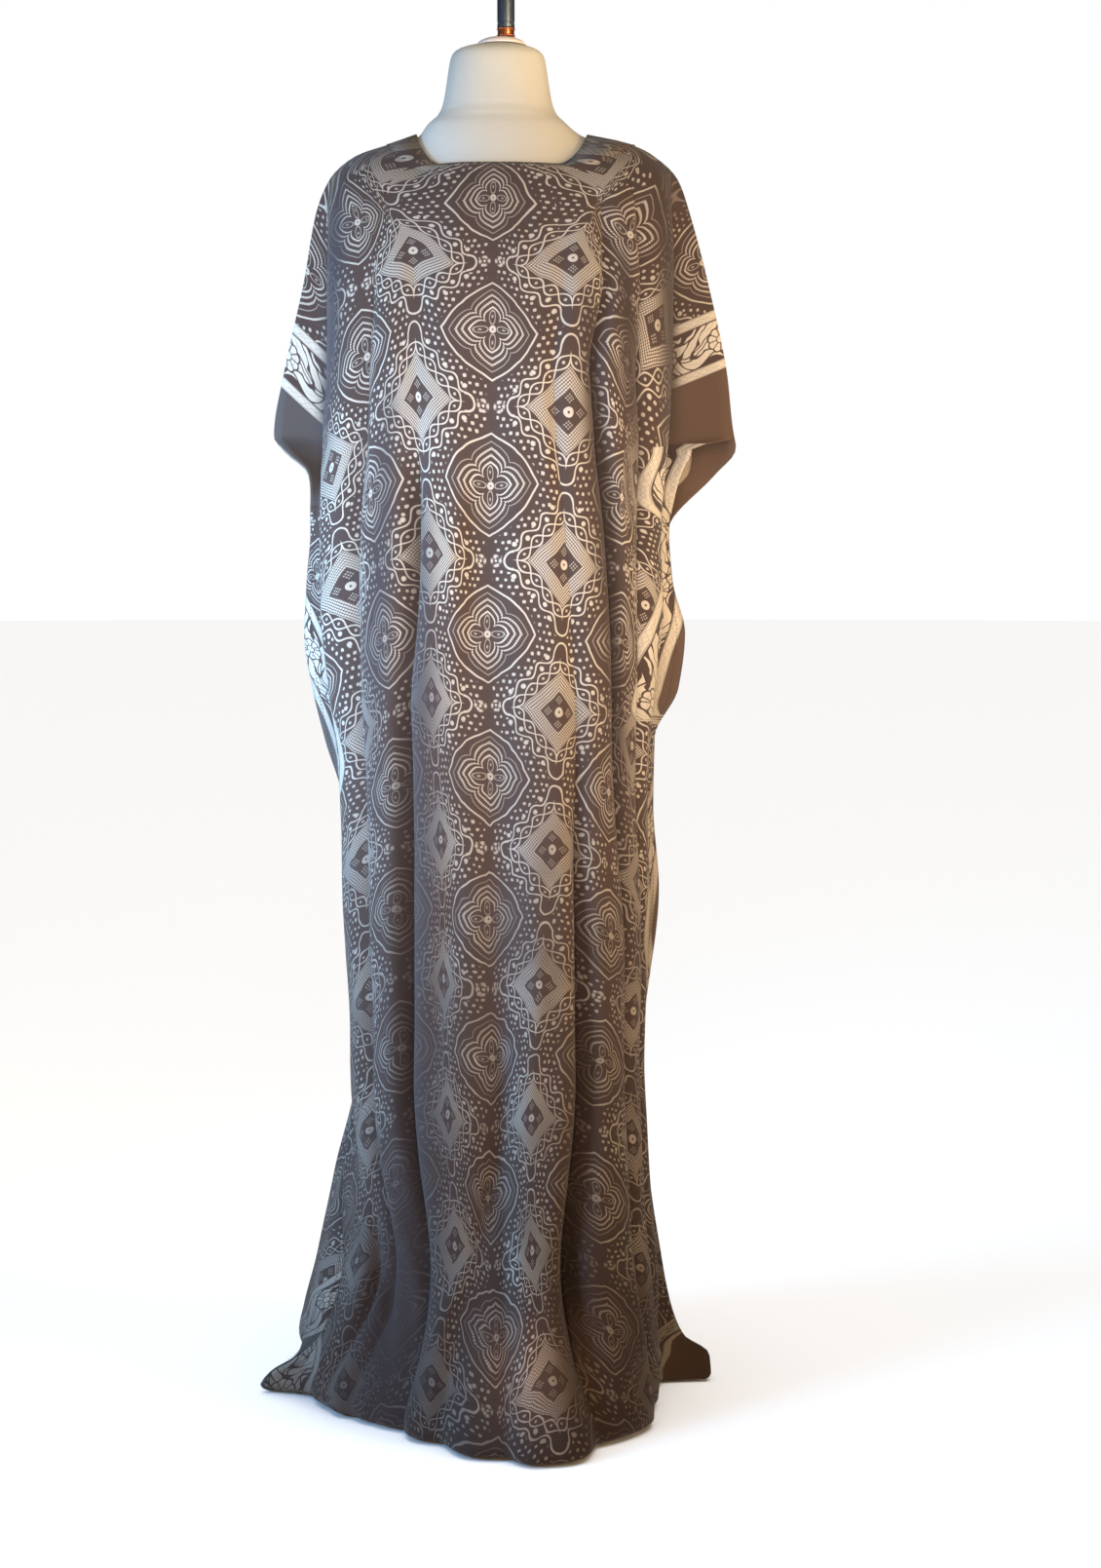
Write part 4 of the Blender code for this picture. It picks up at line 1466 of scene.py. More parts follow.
@dataclass
class Dress:
    """The two cloths of the dress with their hems and stitches."""

    drape: Drape
    outer: Material
    inner: Material
    thread: Material
    half_width: float = 0.530
    length: float = 1.500
    shown_cut: float = 0.950
    repeat: tuple[float, float] = (0.166, 0.152)
    neck_half: float = 0.090
    wall: float = 0.0009
    proud: float = 0.0011
    rows: int = 230
    front_steps: int = 12
    back_steps: int = 16
    neck_drop: float = 0.0859
    neck_rise: float = 0.049
    centre_shift: float = 0.010
    first_motif: float = 0.139
    side_droop: float = 0.045
    left_lip_end: float = 0.375
    plain_edge: float = 0.012
    no_border: float = 0.5
    split_soft: float = 0.16
    fold_reach: float = math.radians(17)
    fold_starts: float = 0.006
    fold_full: float = 0.019
    least_stretch: float = 0.72
    # How much of a fold's depth is painted as shade, and how fast the painted shade bands fall off
    # sideways.
    painted_depth_shade: float = 0.55
    shade_fall: float = 0.76
    girth: float = 170.0
    ripple_sway: float = 1.6
    ripple_waves: float = 2.3
    swell: float = 2.4
    swell_pace: tuple[float, float, float] = (9, 9, 3.2)
    crumple: float = 0.7
    crumple_pace: tuple[float, float, float] = (30, 30, 14)
    calm_top: tuple[float, float] = (1.375, 1.30)
    calm_foot: tuple[float, float] = (0.006, 0.05)
    hem_rows: int = 2
    hem_wall: float = 0.0007
    hem_lift: float = 0.0008
    side_seam: int = 2
    seam_starts: int = 4
    stitch: tuple[float, float, float] = (0.00045, 0.0003, 0.0013)
    stitch_pitch: float = 0.0042
    stitch_lift: float = 0.0010

    def fall(self, height: float) -> float:
        """Distance down the cloth from the shoulder fold, at a height."""
        top = SECTIONS[0].front_mid
        if height > top:
            return self.neck_drop * (1 - (height - top) / self.neck_rise)
        return self.neck_drop + self.drape.run_at(height) + self.slack(height)

    def relief(self, panel: Panel, turn: float, spot: Vector) -> float:
        """How far the short folds lift or sink the cloth at a point.

        Args:
            panel: which cloth.
            turn: the point's turn from the cloth's middle, in radians.
            spot: the point.

        Returns:
            Metres along the cloth's outward direction.
        """
        found = 0.0
        degrees = math.degrees(turn)
        for fold in RIPPLES[panel]:
            if not fold.low < spot.z < fold.high:
                continue
            t = (fold.high - spot.z) / (fold.high - fold.low)
            line = fold.top_turn + (fold.low_turn - fold.top_turn) * t
            line += self.ripple_sway * math.sin(math.pi * self.ripple_waves * t + fold.width)
            away = (degrees - line) * math.pi / 180 * self.girth / fold.width
            if abs(away) < 3:
                found += fold.depth * math.sin(math.pi * t) ** 0.8 * math.exp(-away * away)
        for size, paces in ((self.swell, self.swell_pace), (self.crumple, self.crumple_pace)):
            place = Vector([part * pace for part, pace in zip(spot, paces)])
            found += noise.noise(place) * size
        calm = ease(*self.calm_top, spot.z) * ease(*self.calm_foot, spot.z)
        return found * calm * MILLI

    def hang(self, panel: Panel) -> Cloth:
        """Hangs one cloth, with its short folds, the shade painted into its folds and its print.

        Args:
            panel: which cloth.

        Returns:
            The cloth.
        """
        steps = self.back_steps if panel is Panel.BACK else self.front_steps
        cloth = Cloth(self.drape, panel, self.rows, steps)
        lifts = []
        for verts, ring in zip(cloth.table, cloth.rings):
            for column, (vert, spot) in enumerate(zip(verts, ring)):
                quiet = min(1.0, min(column, cloth.columns - 1 - column) / steps)
                lift = self.proud + self.relief(panel, spot[1], vert.co) * quiet
                lifts.append((vert, vert.normal * lift))
        for vert, shift in lifts:
            vert.co += shift
        # Painted shade: the further down in a fold a point lies, the more shade is painted on it;
        # the front also takes its painted shade bands.
        depth = self.creasing(cloth.rings)
        for verts, found in zip(cloth.table, depth * self.painted_depth_shade):
            if panel is Panel.FRONT:
                found = np.maximum(found, self.painted_fold_shade(verts))
            for vert, value in zip(verts, found):
                vert[cloth.shade] = value
        laid = Laid(cloth.rows, cloth.columns)
        for row in range(cloth.rows):
            self.lay_row(cloth, laid, row)
        self.write_maps(cloth, laid)
        return cloth

    def painted_fold_shade(self, verts: list[BMVert]) -> np.ndarray:
        """How much shade is painted on each point of a row by the front's painted shade bands.

        Args:
            verts: the row's points.

        Returns:
            From 0 on the open cloth to 1 where the painted shade is strongest.
        """
        across = np.array([v.co.x for v in verts])
        up = np.array([v.co.z for v in verts])
        found = np.zeros(len(verts))
        for shade in FRONT_PAINTED_SHADES.values():
            heights, *columns = np.array(shade[::-1]).T
            middle, half_width, strength = (np.interp(up, heights, part) for part in columns)
            away = (across - middle) / half_width
            found = np.maximum(found, strength * np.exp(-away * away * self.shade_fall))
        return found

    def creasing(self, rings: list[list[Spot]]) -> np.ndarray:
        """How deep in a fold each point lies, below the ridges to both sides of it.

        Args:
            rings: the cloth's points with their turns and depths.

        Returns:
            From 0 on the open cloth to 1 far down in a fold, by row and column; it sets how much
            shade is painted there.
        """
        found = []
        for ring in rings:
            turns = np.array([turn for _, turn, _ in ring])
            depths = np.array([depth for _, _, depth in ring])
            near = np.abs(turns[:, None] - turns[None, :]) < self.fold_reach
            ridges = np.where(near, depths[None, :], -1.0).max(axis=1)
            found.append(ridges - depths)
        sunk = np.clip((np.array(found) - self.fold_starts) / self.fold_full, 0, 1)
        for _ in range(2):
            sunk[1:-1] = (sunk[:-2] + sunk[1:-1] * 2 + sunk[2:]) / 4
            sunk[:, 1:-1] = (sunk[:, :-2] + sunk[:, 1:-1] * 2 + sunk[:, 2:]) / 4
        return sunk

    def unstretched(self, places: np.ndarray, arcs: np.ndarray) -> tuple[np.ndarray, np.ndarray]:
        """Keeps the print its own size down both sides of each valley, which hides the surplus.

        Args:
            places: the print's place across at each column.
            arcs: each column's distance along the cloth.

        Returns:
            The places for the faces to the left of each column and for those to its right.
        """
        lefts, rights = places.copy(), places.copy()
        steps = self.front_steps
        for valley, crease in enumerate(CREASES[Panel.FRONT], 1):
            if crease.name not in VALLEYS:
                continue
            bottom = valley * steps
            for way, kept in ((1, lefts), (-1, rights)):
                for column in range(bottom - way * steps, bottom, way):
                    step = abs(places[column + way] - places[column])
                    least = abs(arcs[column + way] - arcs[column]) * self.least_stretch
                    kept[column + way] = kept[column] + way * max(step, least)
            rights[bottom - steps:bottom] = lefts[bottom - steps:bottom]
            lefts[bottom + 1:bottom + steps + 1] = rights[bottom + 1:bottom + steps + 1]
        return lefts, rights

    def front_places(self, cloth: Cloth, row: int,
                     arcs: np.ndarray) -> tuple[np.ndarray, np.ndarray, Curve]:
        """The print's places along a row of the front.

        Args:
            cloth: the front.
            row: which row.
            arcs: each column's distance along the cloth.

        Returns:
            The places across for the faces to the left of each column and for those to its
            right, and the places down as a curve over the turn.
        """
        across, down = self.print_map.curves(cloth.levels[row])
        turns = [turn for _, turn, _ in cloth.rings[row]]
        rising = np.maximum.accumulate(turns)
        low, high = (float(np.interp(t, rising, arcs))
                     for t in self.print_map.reach(cloth.levels[row]))
        beyond = np.minimum(0.0, arcs - low) + np.maximum(0.0, arcs - high)
        places = np.array([across(turn) for turn in turns]) + beyond
        return (*self.unstretched(places, arcs), down)

    def lay_row(self, cloth: Cloth, laid: Laid, row: int) -> None:
        """Lays a row of points on the flat cloth, after the rows above it.

        Args:
            cloth: the cloth.
            laid: the places found so far, which take the row's.
            row: which row.
        """
        verts, level, middle = cloth.table[row], cloth.levels[row], cloth.middle
        front, runs = cloth.panel is Panel.FRONT, self.drape.run_of
        points, arcs = cloth.arcs(row)
        limits = self.drape.limits(cloth.panel, level)
        lip = front and runs["tip"] <= level < self.left_lip_end
        for side in Side:
            column = cloth.edge_column(side)
            if row:
                laid.fold[side] += (verts[column].co - cloth.table[row - 1][column].co).length
        if front:
            lefts, rights, down = self.front_places(cloth, row, arcs)
        for column, vert in enumerate(verts):
            turn = cloth.rings[row][column][1]
            side = Side.RIGHT if column > middle else Side.LEFT
            share = abs(turn) / limits[side]
            from_edge = arcs[-1] - arcs[column] if side is Side.RIGHT else arcs[column]
            if front:
                u, v = lefts[column], down(turn)
                laid.onward[row, column] = rights[column] - u
            else:
                u = points[middle][0] + self.centre_shift + arcs[column] - arcs[middle]
                v = self.fall(vert.co.z + self.side_droop * share ** 3) - self.first_motif
            laid.body[row, column] = (u, v)
            if level < runs["tip"] or (lip and side is Side.LEFT):
                self.lay_on_sleeve(cloth, laid, (row, column), side, from_edge, share,
                                   limits[side])
            else:
                hidden, pace = (curve(vert.co.z) for curve in self.hidden[cloth.panel, side])
                laid.edge[row, column] = (hidden + from_edge * pace, v)

    def lay_on_sleeve(self, cloth: Cloth, laid: Laid, spot: tuple[int, int], side: Side,
                      from_edge: float, share: float, limit: float) -> None:
        """Lays a point on the cloth as it hangs over a sleeve.

        Args:
            cloth: the cloth.
            laid: the places found so far, which take the point's.
            spot: its row and column.
            side: which sleeve.
            from_edge: its distance along the row from the cloth's edge.
            share: its turn as a share of the edge's.
            limit: the edge's turn.
        """
        row, column = spot
        verts, ring, level = cloth.table[row], cloth.rings[row], cloth.levels[row]
        runs, steps = self.drape.run_of, cloth.steps
        inward = abs(verts[cloth.edge_column(side)].co.x) - abs(verts[column].co.x)
        end, up_pace, in_pace = SLEEVE_BORDERS[side]
        b = max(0.0, verts[column].co.z - end) * up_pace + self.plain_edge + in_pace * inward
        if level < runs["cap"]:
            b = min(b, self.half_width - (self.neck_half + laid.fold[side]))
        inner = steps <= column <= cloth.columns - 1 - steps
        laid.sleeve[spot] = (side.value * (self.half_width - b), from_edge)
        laid.edge[spot] = (self.no_border if inner else b, from_edge)
        narrow = ease(runs["slope"], runs["chest"], level)
        soft = self.split_soft * (1 - narrow) + 0.001
        split = abs(ring[cloth.edge_column(side, steps)][1]) / limit
        laid.weight[spot] = ease(split - soft, split + soft, share)
        laid.on_sleeve[spot] = True

    def write_maps(self, cloth: Cloth, laid: Laid) -> None:
        """Gives each corner of each face its place on the flat cloth.

        Args:
            cloth: the cloth, whose two UV maps are filled.
            laid: the places of its points.
        """
        printed, bordered = (cloth.sheet.loops.layers.uv[name] for name in ("print", "edge"))
        for face in cloth.sheet.faces:
            spots = [cloth.spot(v) for v in face.verts]
            on_sleeve = all(laid.on_sleeve[s] for s in spots)
            centre = sum(column for _, column in spots) / 4
            outer = centre < cloth.steps or centre > cloth.columns - 1 - cloth.steps
            hard = cloth.levels[max(row for row, _ in spots)] > self.drape.run_of["cap"]
            first = min(column for _, column in spots)
            for loop, spot in zip(face.loops, spots):
                place = laid.body[spot]
                edge = laid.edge[spot]
                if spot[1] == first:
                    place = place + (laid.onward[spot], 0.0)
                if on_sleeve:
                    share = float(outer) if hard else laid.weight[spot]
                    place = place * (1 - share) + laid.sleeve[spot] * share
                    edge = edge if outer else (self.no_border, 0.0)
                elif laid.on_sleeve[spot]:
                    edge = laid.edge[spot[0] + 1, spot[1]]
                loop[printed].uv = place
                loop[bordered].uv = edge

    def shell(self, name: str, sheet: BMesh, thickness: float) -> Object:
        """Gives a sheet its thickness, printed outside and paler inside.

        Args:
            name: the piece's name.
            sheet: the sheet, freed here.
            thickness: how thick it gets, half to each side.

        Returns:
            The piece.
        """
        piece = new_piece(name, sheet, self.outer, self.inner, slot="cloth")
        wall = piece.modifiers.new("wall", "SOLIDIFY")
        wall.thickness = thickness
        wall.offset = 0.0
        wall.use_even_offset = False
        wall.use_quality_normals = True
        wall.material_offset = 1
        return piece

    def neck_hem(self, name: str, cloth: Cloth) -> Object:
        """The neck's turned hem: the cloth's first rows, laid over it once more.

        Args:
            name: the hem's name.
            cloth: the cloth that it is a part of.

        Returns:
            The hem.
        """
        turned = cloth.sheet.copy()
        rows = turned.verts.layers.int["row"]
        below = [f for f in turned.faces if min(v[rows] for v in f.verts) >= self.hem_rows]
        bmesh.ops.delete(turned, geom=below, context="FACES")
        turned.normal_update()
        for vert in turned.verts:
            vert.co += vert.normal * self.hem_lift
        return self.shell(name, turned, self.hem_wall)

    def stitches(self, name: str, cloth: Cloth) -> Object:
        """The running stitches of the neck hem and the two side joins.

        Args:
            name: the stitches' name.
            cloth: the cloth that they go through.

        Returns:
            The stitches, as one piece.
        """
        run_of, pace = self.drape.run_of, self.drape.runs[-1] / (self.rows - 1)
        first, last = (round(run_of[level] / pace) for level in ("lip", "brush"))
        paths = [cloth.table[self.hem_rows]]
        for side in Side:
            column = cloth.edge_column(side, self.side_seam)
            paths.append([cloth.table[row][column]
                          for row in range(first + self.seam_starts, last)])
        tool = bmesh.new()
        for path in paths:
            self.sew(tool, path)
        return new_piece(name, tool, self.thread, slot="cloth")

    def sew(self, tool: BMesh, path: list[BMVert]) -> None:
        """Lays stitches along a path on the cloth.

        Args:
            tool: the bmesh that takes them.
            path: points of the cloth.
        """
        travelled, wanted = 0.0, 0.0
        size = Matrix.Diagonal((*self.stitch, 1.0))
        for start, end in zip(path, path[1:]):
            up, way = start.normal, end.co - start.co
            step = way.length
            while wanted < travelled + step and step > 0:
                t = (wanted - travelled) / step
                spot = start.co.lerp(end.co, t) + up * (self.wall / 2 + self.stitch_lift)
                along = way.normalized()
                across = up.cross(along).normalized()
                turn = Matrix((across, up, along)).transposed().to_4x4()
                bmesh.ops.create_icosphere(tool, subdivisions=1, radius=1.0,
                                           matrix=Matrix.Translation(spot) @ turn @ size)
                wanted += self.stitch_pitch
            travelled += step

    def build(self) -> list[Object]:
        """Builds both cloths, their hems and their stitches."""
        made = []
        self.slack = Curve(*zip(*SLACK))
        self.print_map = PrintMap(*self.repeat)
        self.hidden = {}
        for place, tucks in HIDDEN.items():
            heights, *columns = zip(*reversed(tucks))
            self.hidden[place] = [Curve(heights, column) for column in columns]
        for panel, node in ((Panel.FRONT, "front_cloth"), (Panel.BACK, "back_cloth")):
            cloth = self.hang(panel)
            side = panel.name.lower()
            neck = self.neck_hem(f"{side}_neck_hem", cloth)
            stitches = self.stitches(f"{side}_stitches", cloth)
            piece = self.shell(f"{side}_of_dress", cloth.sheet, self.wall)
            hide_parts(node)
            made += [piece, neck, stitches]
        return made


class Ring(NamedTuple):
    """A ring of the dress form, in metres."""

    height: float
    half_width: float
    front: float
    back: float


Profile = list[tuple[float, float]]


def bow(radius: float, height: float, start: float, step: float, count: int,
        foot: float = 0.0, base: float = 0.0) -> Profile:
    """Part of an oval of two half-axes in a profile, from an angle on, on its foot and base."""
    angles = [math.radians(start + step * i) for i in range(count)]
    return [(base + radius * math.sin(a), foot + height * math.cos(a)) for a in angles]


@dataclass
class DressForm:
    """The limbless form: torso and neck in one, and what stands on the neck."""

    drape: Drape
    cover: Material
    cap_finish: Material
    copper: Material
    grey: Material
    sides: int = 96
    rows: int = 170
    seam_height: float = 1.402
    seam_tilt: float = 0.006
    groove: tuple[float, float] = (-0.0013, 0.0016)
    roll: tuple[float, float] = (0.0012, 0.0035)
    roll_below: float = 0.0045
    neck_starts: tuple[float, float] = (1.383, 1.392)
    cap_offset: float = 0.004
    cap_step: float = 0.0012
    cap_inset: float = 0.985
    rod_offset: float = 0.009
    bead: float = 0.0010
    ring_inset: float = 0.0016
    rod_round: float = 0.005
    rod_groove: tuple[tuple[float, float], ...] = (
        (0.0, 0.0060), (0.0006, 0.0054), (0.0006, 0.0046), (0.0, 0.0040),
    )
    turned_sides: int = 48
    torso: tuple[Ring, ...] = (
        Ring(0.8, 0.134, 0.092, 0.09), Ring(0.84, 0.142, 0.099, 0.099),
        Ring(0.9, 0.138, 0.096, 0.098), Ring(0.97, 0.121, 0.088, 0.085),
        Ring(1.03, 0.114, 0.086, 0.08), Ring(1.1, 0.129, 0.102, 0.086),
        Ring(1.165, 0.146, 0.113, 0.096), Ring(1.215, 0.155, 0.107, 0.101),
    )
    neck: tuple[Ring, ...] = (
        Ring(1.3925, 0.077, 0.058, 0.057), Ring(1.4, 0.068, 0.054, 0.055),
        Ring(1.4135, 0.06, 0.051, 0.053), Ring(1.435, 0.0555, 0.048, 0.051),
        Ring(1.454, 0.0527, 0.046, 0.049), Ring(1.466, 0.05, 0.0435, 0.0465),
        Ring(1.4715, 0.0455, 0.039, 0.042), Ring(1.4755, 0.036, 0.031, 0.034),
        Ring(1.478, 0.025, 0.022, 0.024),
    )
    margins: tuple[tuple[str, float], ...] = (
        ("cap", 0.014), ("point", 0.0035), ("slope", 0.0012), ("yoke", 0.0011), ("neck", 0.0011),
    )

    def shoulder(self, section: Section, turn: float, margin: float) -> Vector:
        """A point of the shoulders, under the dress that dips over them.

        Args:
            section: the dress's ring there.
            turn: the point's angle from the front.
            margin: how far it stays inside the dress.

        Returns:
            The point.
        """
        ahead = abs(turn) <= math.pi / 2
        share = abs(turn) / (math.pi / 2) if ahead else 2 - abs(turn) / (math.pi / 2)
        middle = section.front_mid if ahead else section.back_mid
        radius = plain_radius(section.left - margin, section.right - margin,
                              section.front_depth - margin, section.back_depth - margin, turn)
        return around(radius, turn, self.drape.rise(middle, section.side, share) - margin)

    def column(self, turn: float) -> list[Vector]:
        """The points of the form's rings at one angle.

        Args:
            turn: the angle from the front.

        Returns:
            The points, from the bottom to the neck's top.
        """
        torso, neck = (
            [around(plain_radius(r.half_width, r.half_width, r.front, r.back, turn), turn,
                    r.height) for r in rings]
            for rings in (self.torso, self.neck)
        )
        sections = {s.name: s for s in SECTIONS}
        shoulders = [self.shoulder(sections[name], turn, margin) for name, margin in self.margins]
        return torso + shoulders + neck

    def build(self) -> list[Object]:
        """Builds the form's body and the turned pieces above its neck, and dresses the stand."""
        made = [self.body(), self.cap(), self.collar(), self.rod()]
        for node in ("stand_socket", "stand_pole", "stand_base"):
            bpy.data.objects[node].material_slots[0].material = self.grey
        return made

    def body(self) -> Object:
        """The torso and neck as one smooth cover with its seam."""
        turns = [math.pi * (2 * i / self.sides - 1) for i in range(self.sides)]
        smooth = []
        for points in map(self.column, turns):
            gaps = [(high - low).length for low, high in zip(points, points[1:])]
            share = np.concatenate([[0.0], np.cumsum(gaps)]) / sum(gaps)
            smooth.append([Curve(share, [p[k] for p in points]) for k in range(3)])
        tool = bmesh.new()
        last = self.rows - 1
        bmesh.ops.create_grid(tool, x_segments=self.sides, y_segments=last, size=0.5)
        for vert in tool.verts:
            column = round((vert.co.x + 0.5) * self.sides) % self.sides
            row = round((vert.co.y + 0.5) * last)
            spot = Vector([curve(row / last) for curve in smooth[column]])
            vert.co = spot + self.seam(spot, turns[column])
        bmesh.ops.remove_doubles(tool, verts=tool.verts, dist=0.00001)
        bmesh.ops.edgeloop_fill(tool, edges=[e for e in tool.edges if e.is_boundary])
        bmesh.ops.recalc_face_normals(tool, faces=tool.faces)
        piece = new_piece("form_body", tool, self.cover, slot="form_cover")
        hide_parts("form_torso")
        return piece

    def seam(self, spot: Vector, turn: float) -> Vector:
        """How the neck's seam draws the cover in or lifts it.

        Args:
            spot: a point of the cover.
            turn: its angle from the front.

        Returns:
            How far the point moves.
        """
        away = spot.z - (self.seam_height + self.seam_tilt * math.cos(turn))
        moved = 0.0
        for (size, width), middle in ((self.groove, 0.0), (self.roll, self.roll_below)):
            moved += size * math.exp(-(((away + middle) / width) ** 2))
        return around(moved * ease(*self.neck_starts, spot.z), turn, 0.0)

    def spun(self, name: str, profile: Profile, offset: float, finish: Material,
             slot: str, node: str) -> Object:
        """A turned piece.

        Args:
            name: the piece's name.
            profile: (radius, height) from its top to its foot.
            offset: how far its axis stands to the right of the form's.
            finish: its material.
            slot: the record's slot, passed to new_piece, which does not use it.
            node: the solid that it stands for.

        Returns:
            The piece.
        """
        tool = bmesh.new()
        points = [tool.verts.new((radius, 0.0, height)) for radius, height in profile]
        edges = [tool.edges.new(pair) for pair in zip(points, points[1:])]
        bmesh.ops.spin(tool, geom=points + edges, axis=(0, 0, 1), cent=(0, 0, 0),
                       angle=2 * math.pi, steps=self.turned_sides, use_merge=True)
        bmesh.ops.remove_doubles(tool, verts=tool.verts, dist=0.00001)
        bmesh.ops.recalc_face_normals(tool, faces=tool.faces)
        bmesh.ops.translate(tool, verts=tool.verts, vec=(offset, 0, 0))
        piece = new_piece(name, tool, finish, slot=slot)
        piece.data.set_sharp_from_angle(angle=math.radians(40))
        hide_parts(node)
        return piece

    def solid_size(self, node: str) -> tuple[float, float, float]:
        """Radius, foot and top of a turned solid."""
        low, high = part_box(node)
        return (high.x - low.x) / 2, low.z, high.z

    def cap(self) -> Object:
        """The pale cap on the neck, with a small step at its foot."""
        radius, foot, top = self.solid_size("neck_cap")
        profile = [(0.0, top), *bow(radius * self.cap_inset, top - foot, 7.5, 7.5, 11, foot)]
        profile += [(radius, foot + self.cap_step), (radius, foot), (0.0, foot)]
        return self.spun("pale_cap", profile, self.cap_offset, self.cap_finish, "white_cap",
                         "neck_cap")

    def collar(self) -> Object:
        """The copper ring, beaded at its top and foot."""
        radius, foot, top = self.solid_size("copper_ring")
        profile = [(0.0, top), (radius - self.ring_inset, top)]
        for middle in (top - self.bead, foot + self.bead):
            profile += bow(self.bead, self.bead, 0, 30, 7, middle, radius - self.bead)
        profile.append((0.0, foot))
        return self.spun("copper_collar", profile, self.rod_offset, self.copper, "copper",
                         "copper_ring")

    def rod(self) -> Object:
        """The dark rod, with a shallow groove near its foot and a rounded top."""
        radius, foot, top = self.solid_size("top_rod")
        profile = [(0.0, top), *bow(radius, self.rod_round, 15, 15, 6, top - self.rod_round)]
        profile += [(radius - inset, foot + height) for inset, height in self.rod_groove]
        profile += [(radius, foot), (0.0, foot)]
        return self.spun("dark_rod", profile, self.rod_offset, self.grey, "grey_metal", "top_rod")


class Lamp(NamedTuple):
    """A square soft light: where it stands and faces, its power, spread in degrees and size."""

    name: str
    place: tuple[float, float, float]
    aim: tuple[float, float, float]
    colour: tuple[float, float, float]
    power: float
    spread: float
    size: float = 0.8


LAMPS = (
    Lamp("left_window", (-1.15, -0.6, 0.92), (0.0, 0.0, 0.76), (0.33, 0.61, 1.0), 12.0, 84),
    Lamp("right_window", (1.5, -0.72, 1.02), (0.0, 0.0, 0.95), (1.0, 0.71, 0.42), 4.6, 66),
    Lamp("front_fill", (-0.1, -1.8, 1.0), (0.0, 0.0, 1.02), (1.0, 0.88, 0.77), 2.75, 44),
    Lamp("low_fill", (0.3, -1.7, 0.3), (0.0, 0.0, 0.12), (1.0, 0.6, 0.25), 0.7, 60),
    Lamp("hem_light", (-0.12, -1.05, 0.22), (0.036, -0.2, 0.08), (1.0, 0.66, 0.38), 0.018, 9, 0.08),
    Lamp("neck_light", (0.75, -1.2, 1.62), (0.03, 0.0, 1.51), (1.0, 0.84, 0.56), 0.13, 13, 0.2),
)


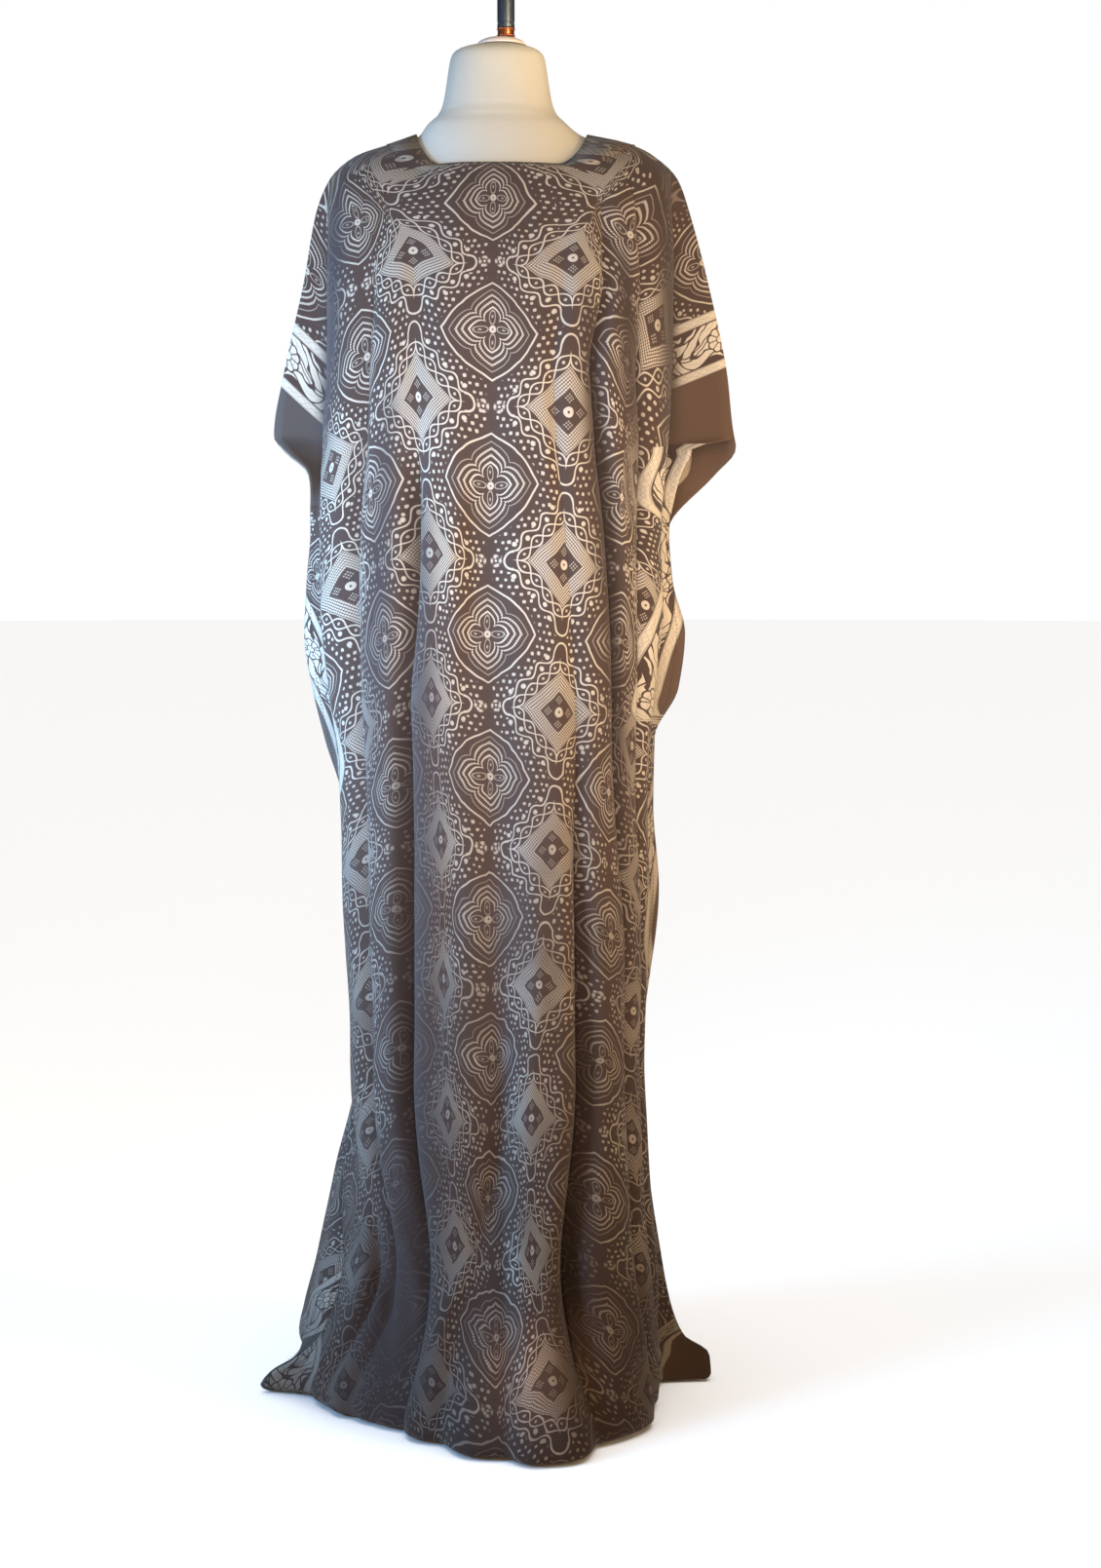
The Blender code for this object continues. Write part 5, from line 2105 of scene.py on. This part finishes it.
@dataclass
class Studio:
    """The pale floor, the soft light and the camera."""

    camera_back: float = 2.70
    camera_height: float = 0.94
    camera_tilt: float = math.radians(5.5)
    camera_turn: float = math.atan(53 / 2511)
    lens: float = 36 * 2511 / 1609
    surround: float = 0.10
    surround_colour: Colour = (1.0, 0.90, 0.80, 1.0)
    floor_colour: Colour = (0.9, 0.9, 0.9, 1.0)
    floor_reach: float = 30.0
    floor_light: float = 3.1
    floor_light_spread: float = math.radians(70)

    def place(self, name: str, data: bpy.types.ID) -> Object:
        """Adds a mesh, light or camera to the scene."""
        placed = bpy.data.objects.new(name, data)
        bpy.context.scene.collection.objects.link(placed)
        return placed

    def build(self) -> None:
        """Builds the floor, the lights and the camera."""
        scene = bpy.context.scene
        scene.view_settings.view_transform = "Standard"
        self.floor()
        self.world()
        for lamp in LAMPS:
            self.light(lamp)
        camera = self.place("camera", bpy.data.cameras.new("camera"))
        camera.data.lens = self.lens
        camera.location = (0.0, -self.camera_back, self.camera_height)
        camera.rotation_euler = (math.pi / 2 - self.camera_tilt, 0.0, -self.camera_turn)
        scene.camera = camera

    def floor(self) -> None:
        """A wide pale floor under the stand, with its own even light from above."""
        tool = bmesh.new()
        bmesh.ops.create_circle(tool, cap_ends=True, segments=64, radius=self.floor_reach)
        mesh = bpy.data.meshes.new("floor")
        tool.to_mesh(mesh)
        tool.free()
        shader = Shader.of_material("pale_floor")
        mesh.materials.append(shader.finish(Base_Color=self.floor_colour, Roughness=0.9))
        floor = self.place("floor", mesh)
        floor.visible_diffuse = False
        lit = bpy.data.collections.new("floor_only")
        lit.objects.link(floor)
        sky = bpy.data.lights.new("floor_light", "SUN")
        sky.energy = self.floor_light
        sky.angle = self.floor_light_spread
        self.place("floor_light", sky).light_linking.receiver_collection = lit

    def world(self) -> None:
        """A dim even surround, with white behind the dress."""
        shader = Shader(bpy.data.worlds.new("white_surround"), "Background")
        bpy.context.scene.world = shader.finish(Color=self.surround_colour,
                                                Strength=self.surround)
        white = shader.node("ShaderNodeBackground", Color=(1.0, 1.0, 1.0, 1.0), Strength=1.0)
        seen = shader.out(shader.node("ShaderNodeLightPath"), "Is Camera Ray")
        both = shader.node("ShaderNodeMixShader", in0=seen, in1=shader.out(shader.surface),
                           in2=shader.out(white))
        shader.feed(shader.tree.nodes["World Output"].inputs["Surface"], shader.out(both))

    def light(self, lamp: Lamp) -> None:
        """Adds one square soft light.

        Args:
            lamp: what it is like.
        """
        light = bpy.data.lights.new(lamp.name, "AREA")
        light.size = lamp.size
        light.spread = math.radians(lamp.spread)
        light.energy = lamp.power
        light.color = lamp.colour
        holder = self.place(lamp.name, light)
        holder.location = lamp.place
        aim = Vector(lamp.aim) - Vector(lamp.place)
        holder.rotation_euler = aim.to_track_quat("-Z", "Y").to_euler()
        holder.visible_camera = False


def log_pieces(pieces: Iterable[Object]) -> None:
    """Reports each piece that was made."""
    for piece in pieces:
        LOG.info("%s: %d faces", piece.name, len(piece.data.polygons))


def main() -> None:
    """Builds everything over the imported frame."""
    logging.basicConfig(level=logging.INFO, format="%(message)s")
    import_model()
    drape = Drape()
    thread = Worn("brown_thread", paint(70, 55, 48), paint(96, 78, 66), 0.8, scale=300.0)
    printed = BaatiPrint()
    reverse = BaatiPrint(ink=paint(176, 160, 144), cream=paint(206, 190, 168),
                         ground=paint(82, 66, 58), strength=0.85)
    dress = Dress(drape, printed.material("printed_cotton"), reverse.material("cotton_reverse"),
                  thread.material())
    log_pieces(dress.build())
    white = Worn("pale_cap", paint(236, 222, 216), paint(214, 196, 188), 0.45, scale=40.0)
    copper = Worn("copper", paint(201, 112, 70), paint(120, 62, 42), 0.28, 1.0, 90.0)
    grey = Worn("dark_grey_metal", paint(74, 80, 88), paint(112, 118, 124), 0.36, 0.85, 50.0,
                (1.0, 1.0, 0.12))
    form = DressForm(drape, Jersey().material(), white.material(), copper.material(),
                     grey.material())
    log_pieces(form.build())
    Studio().build()


if __name__ == "__main__":
    main()
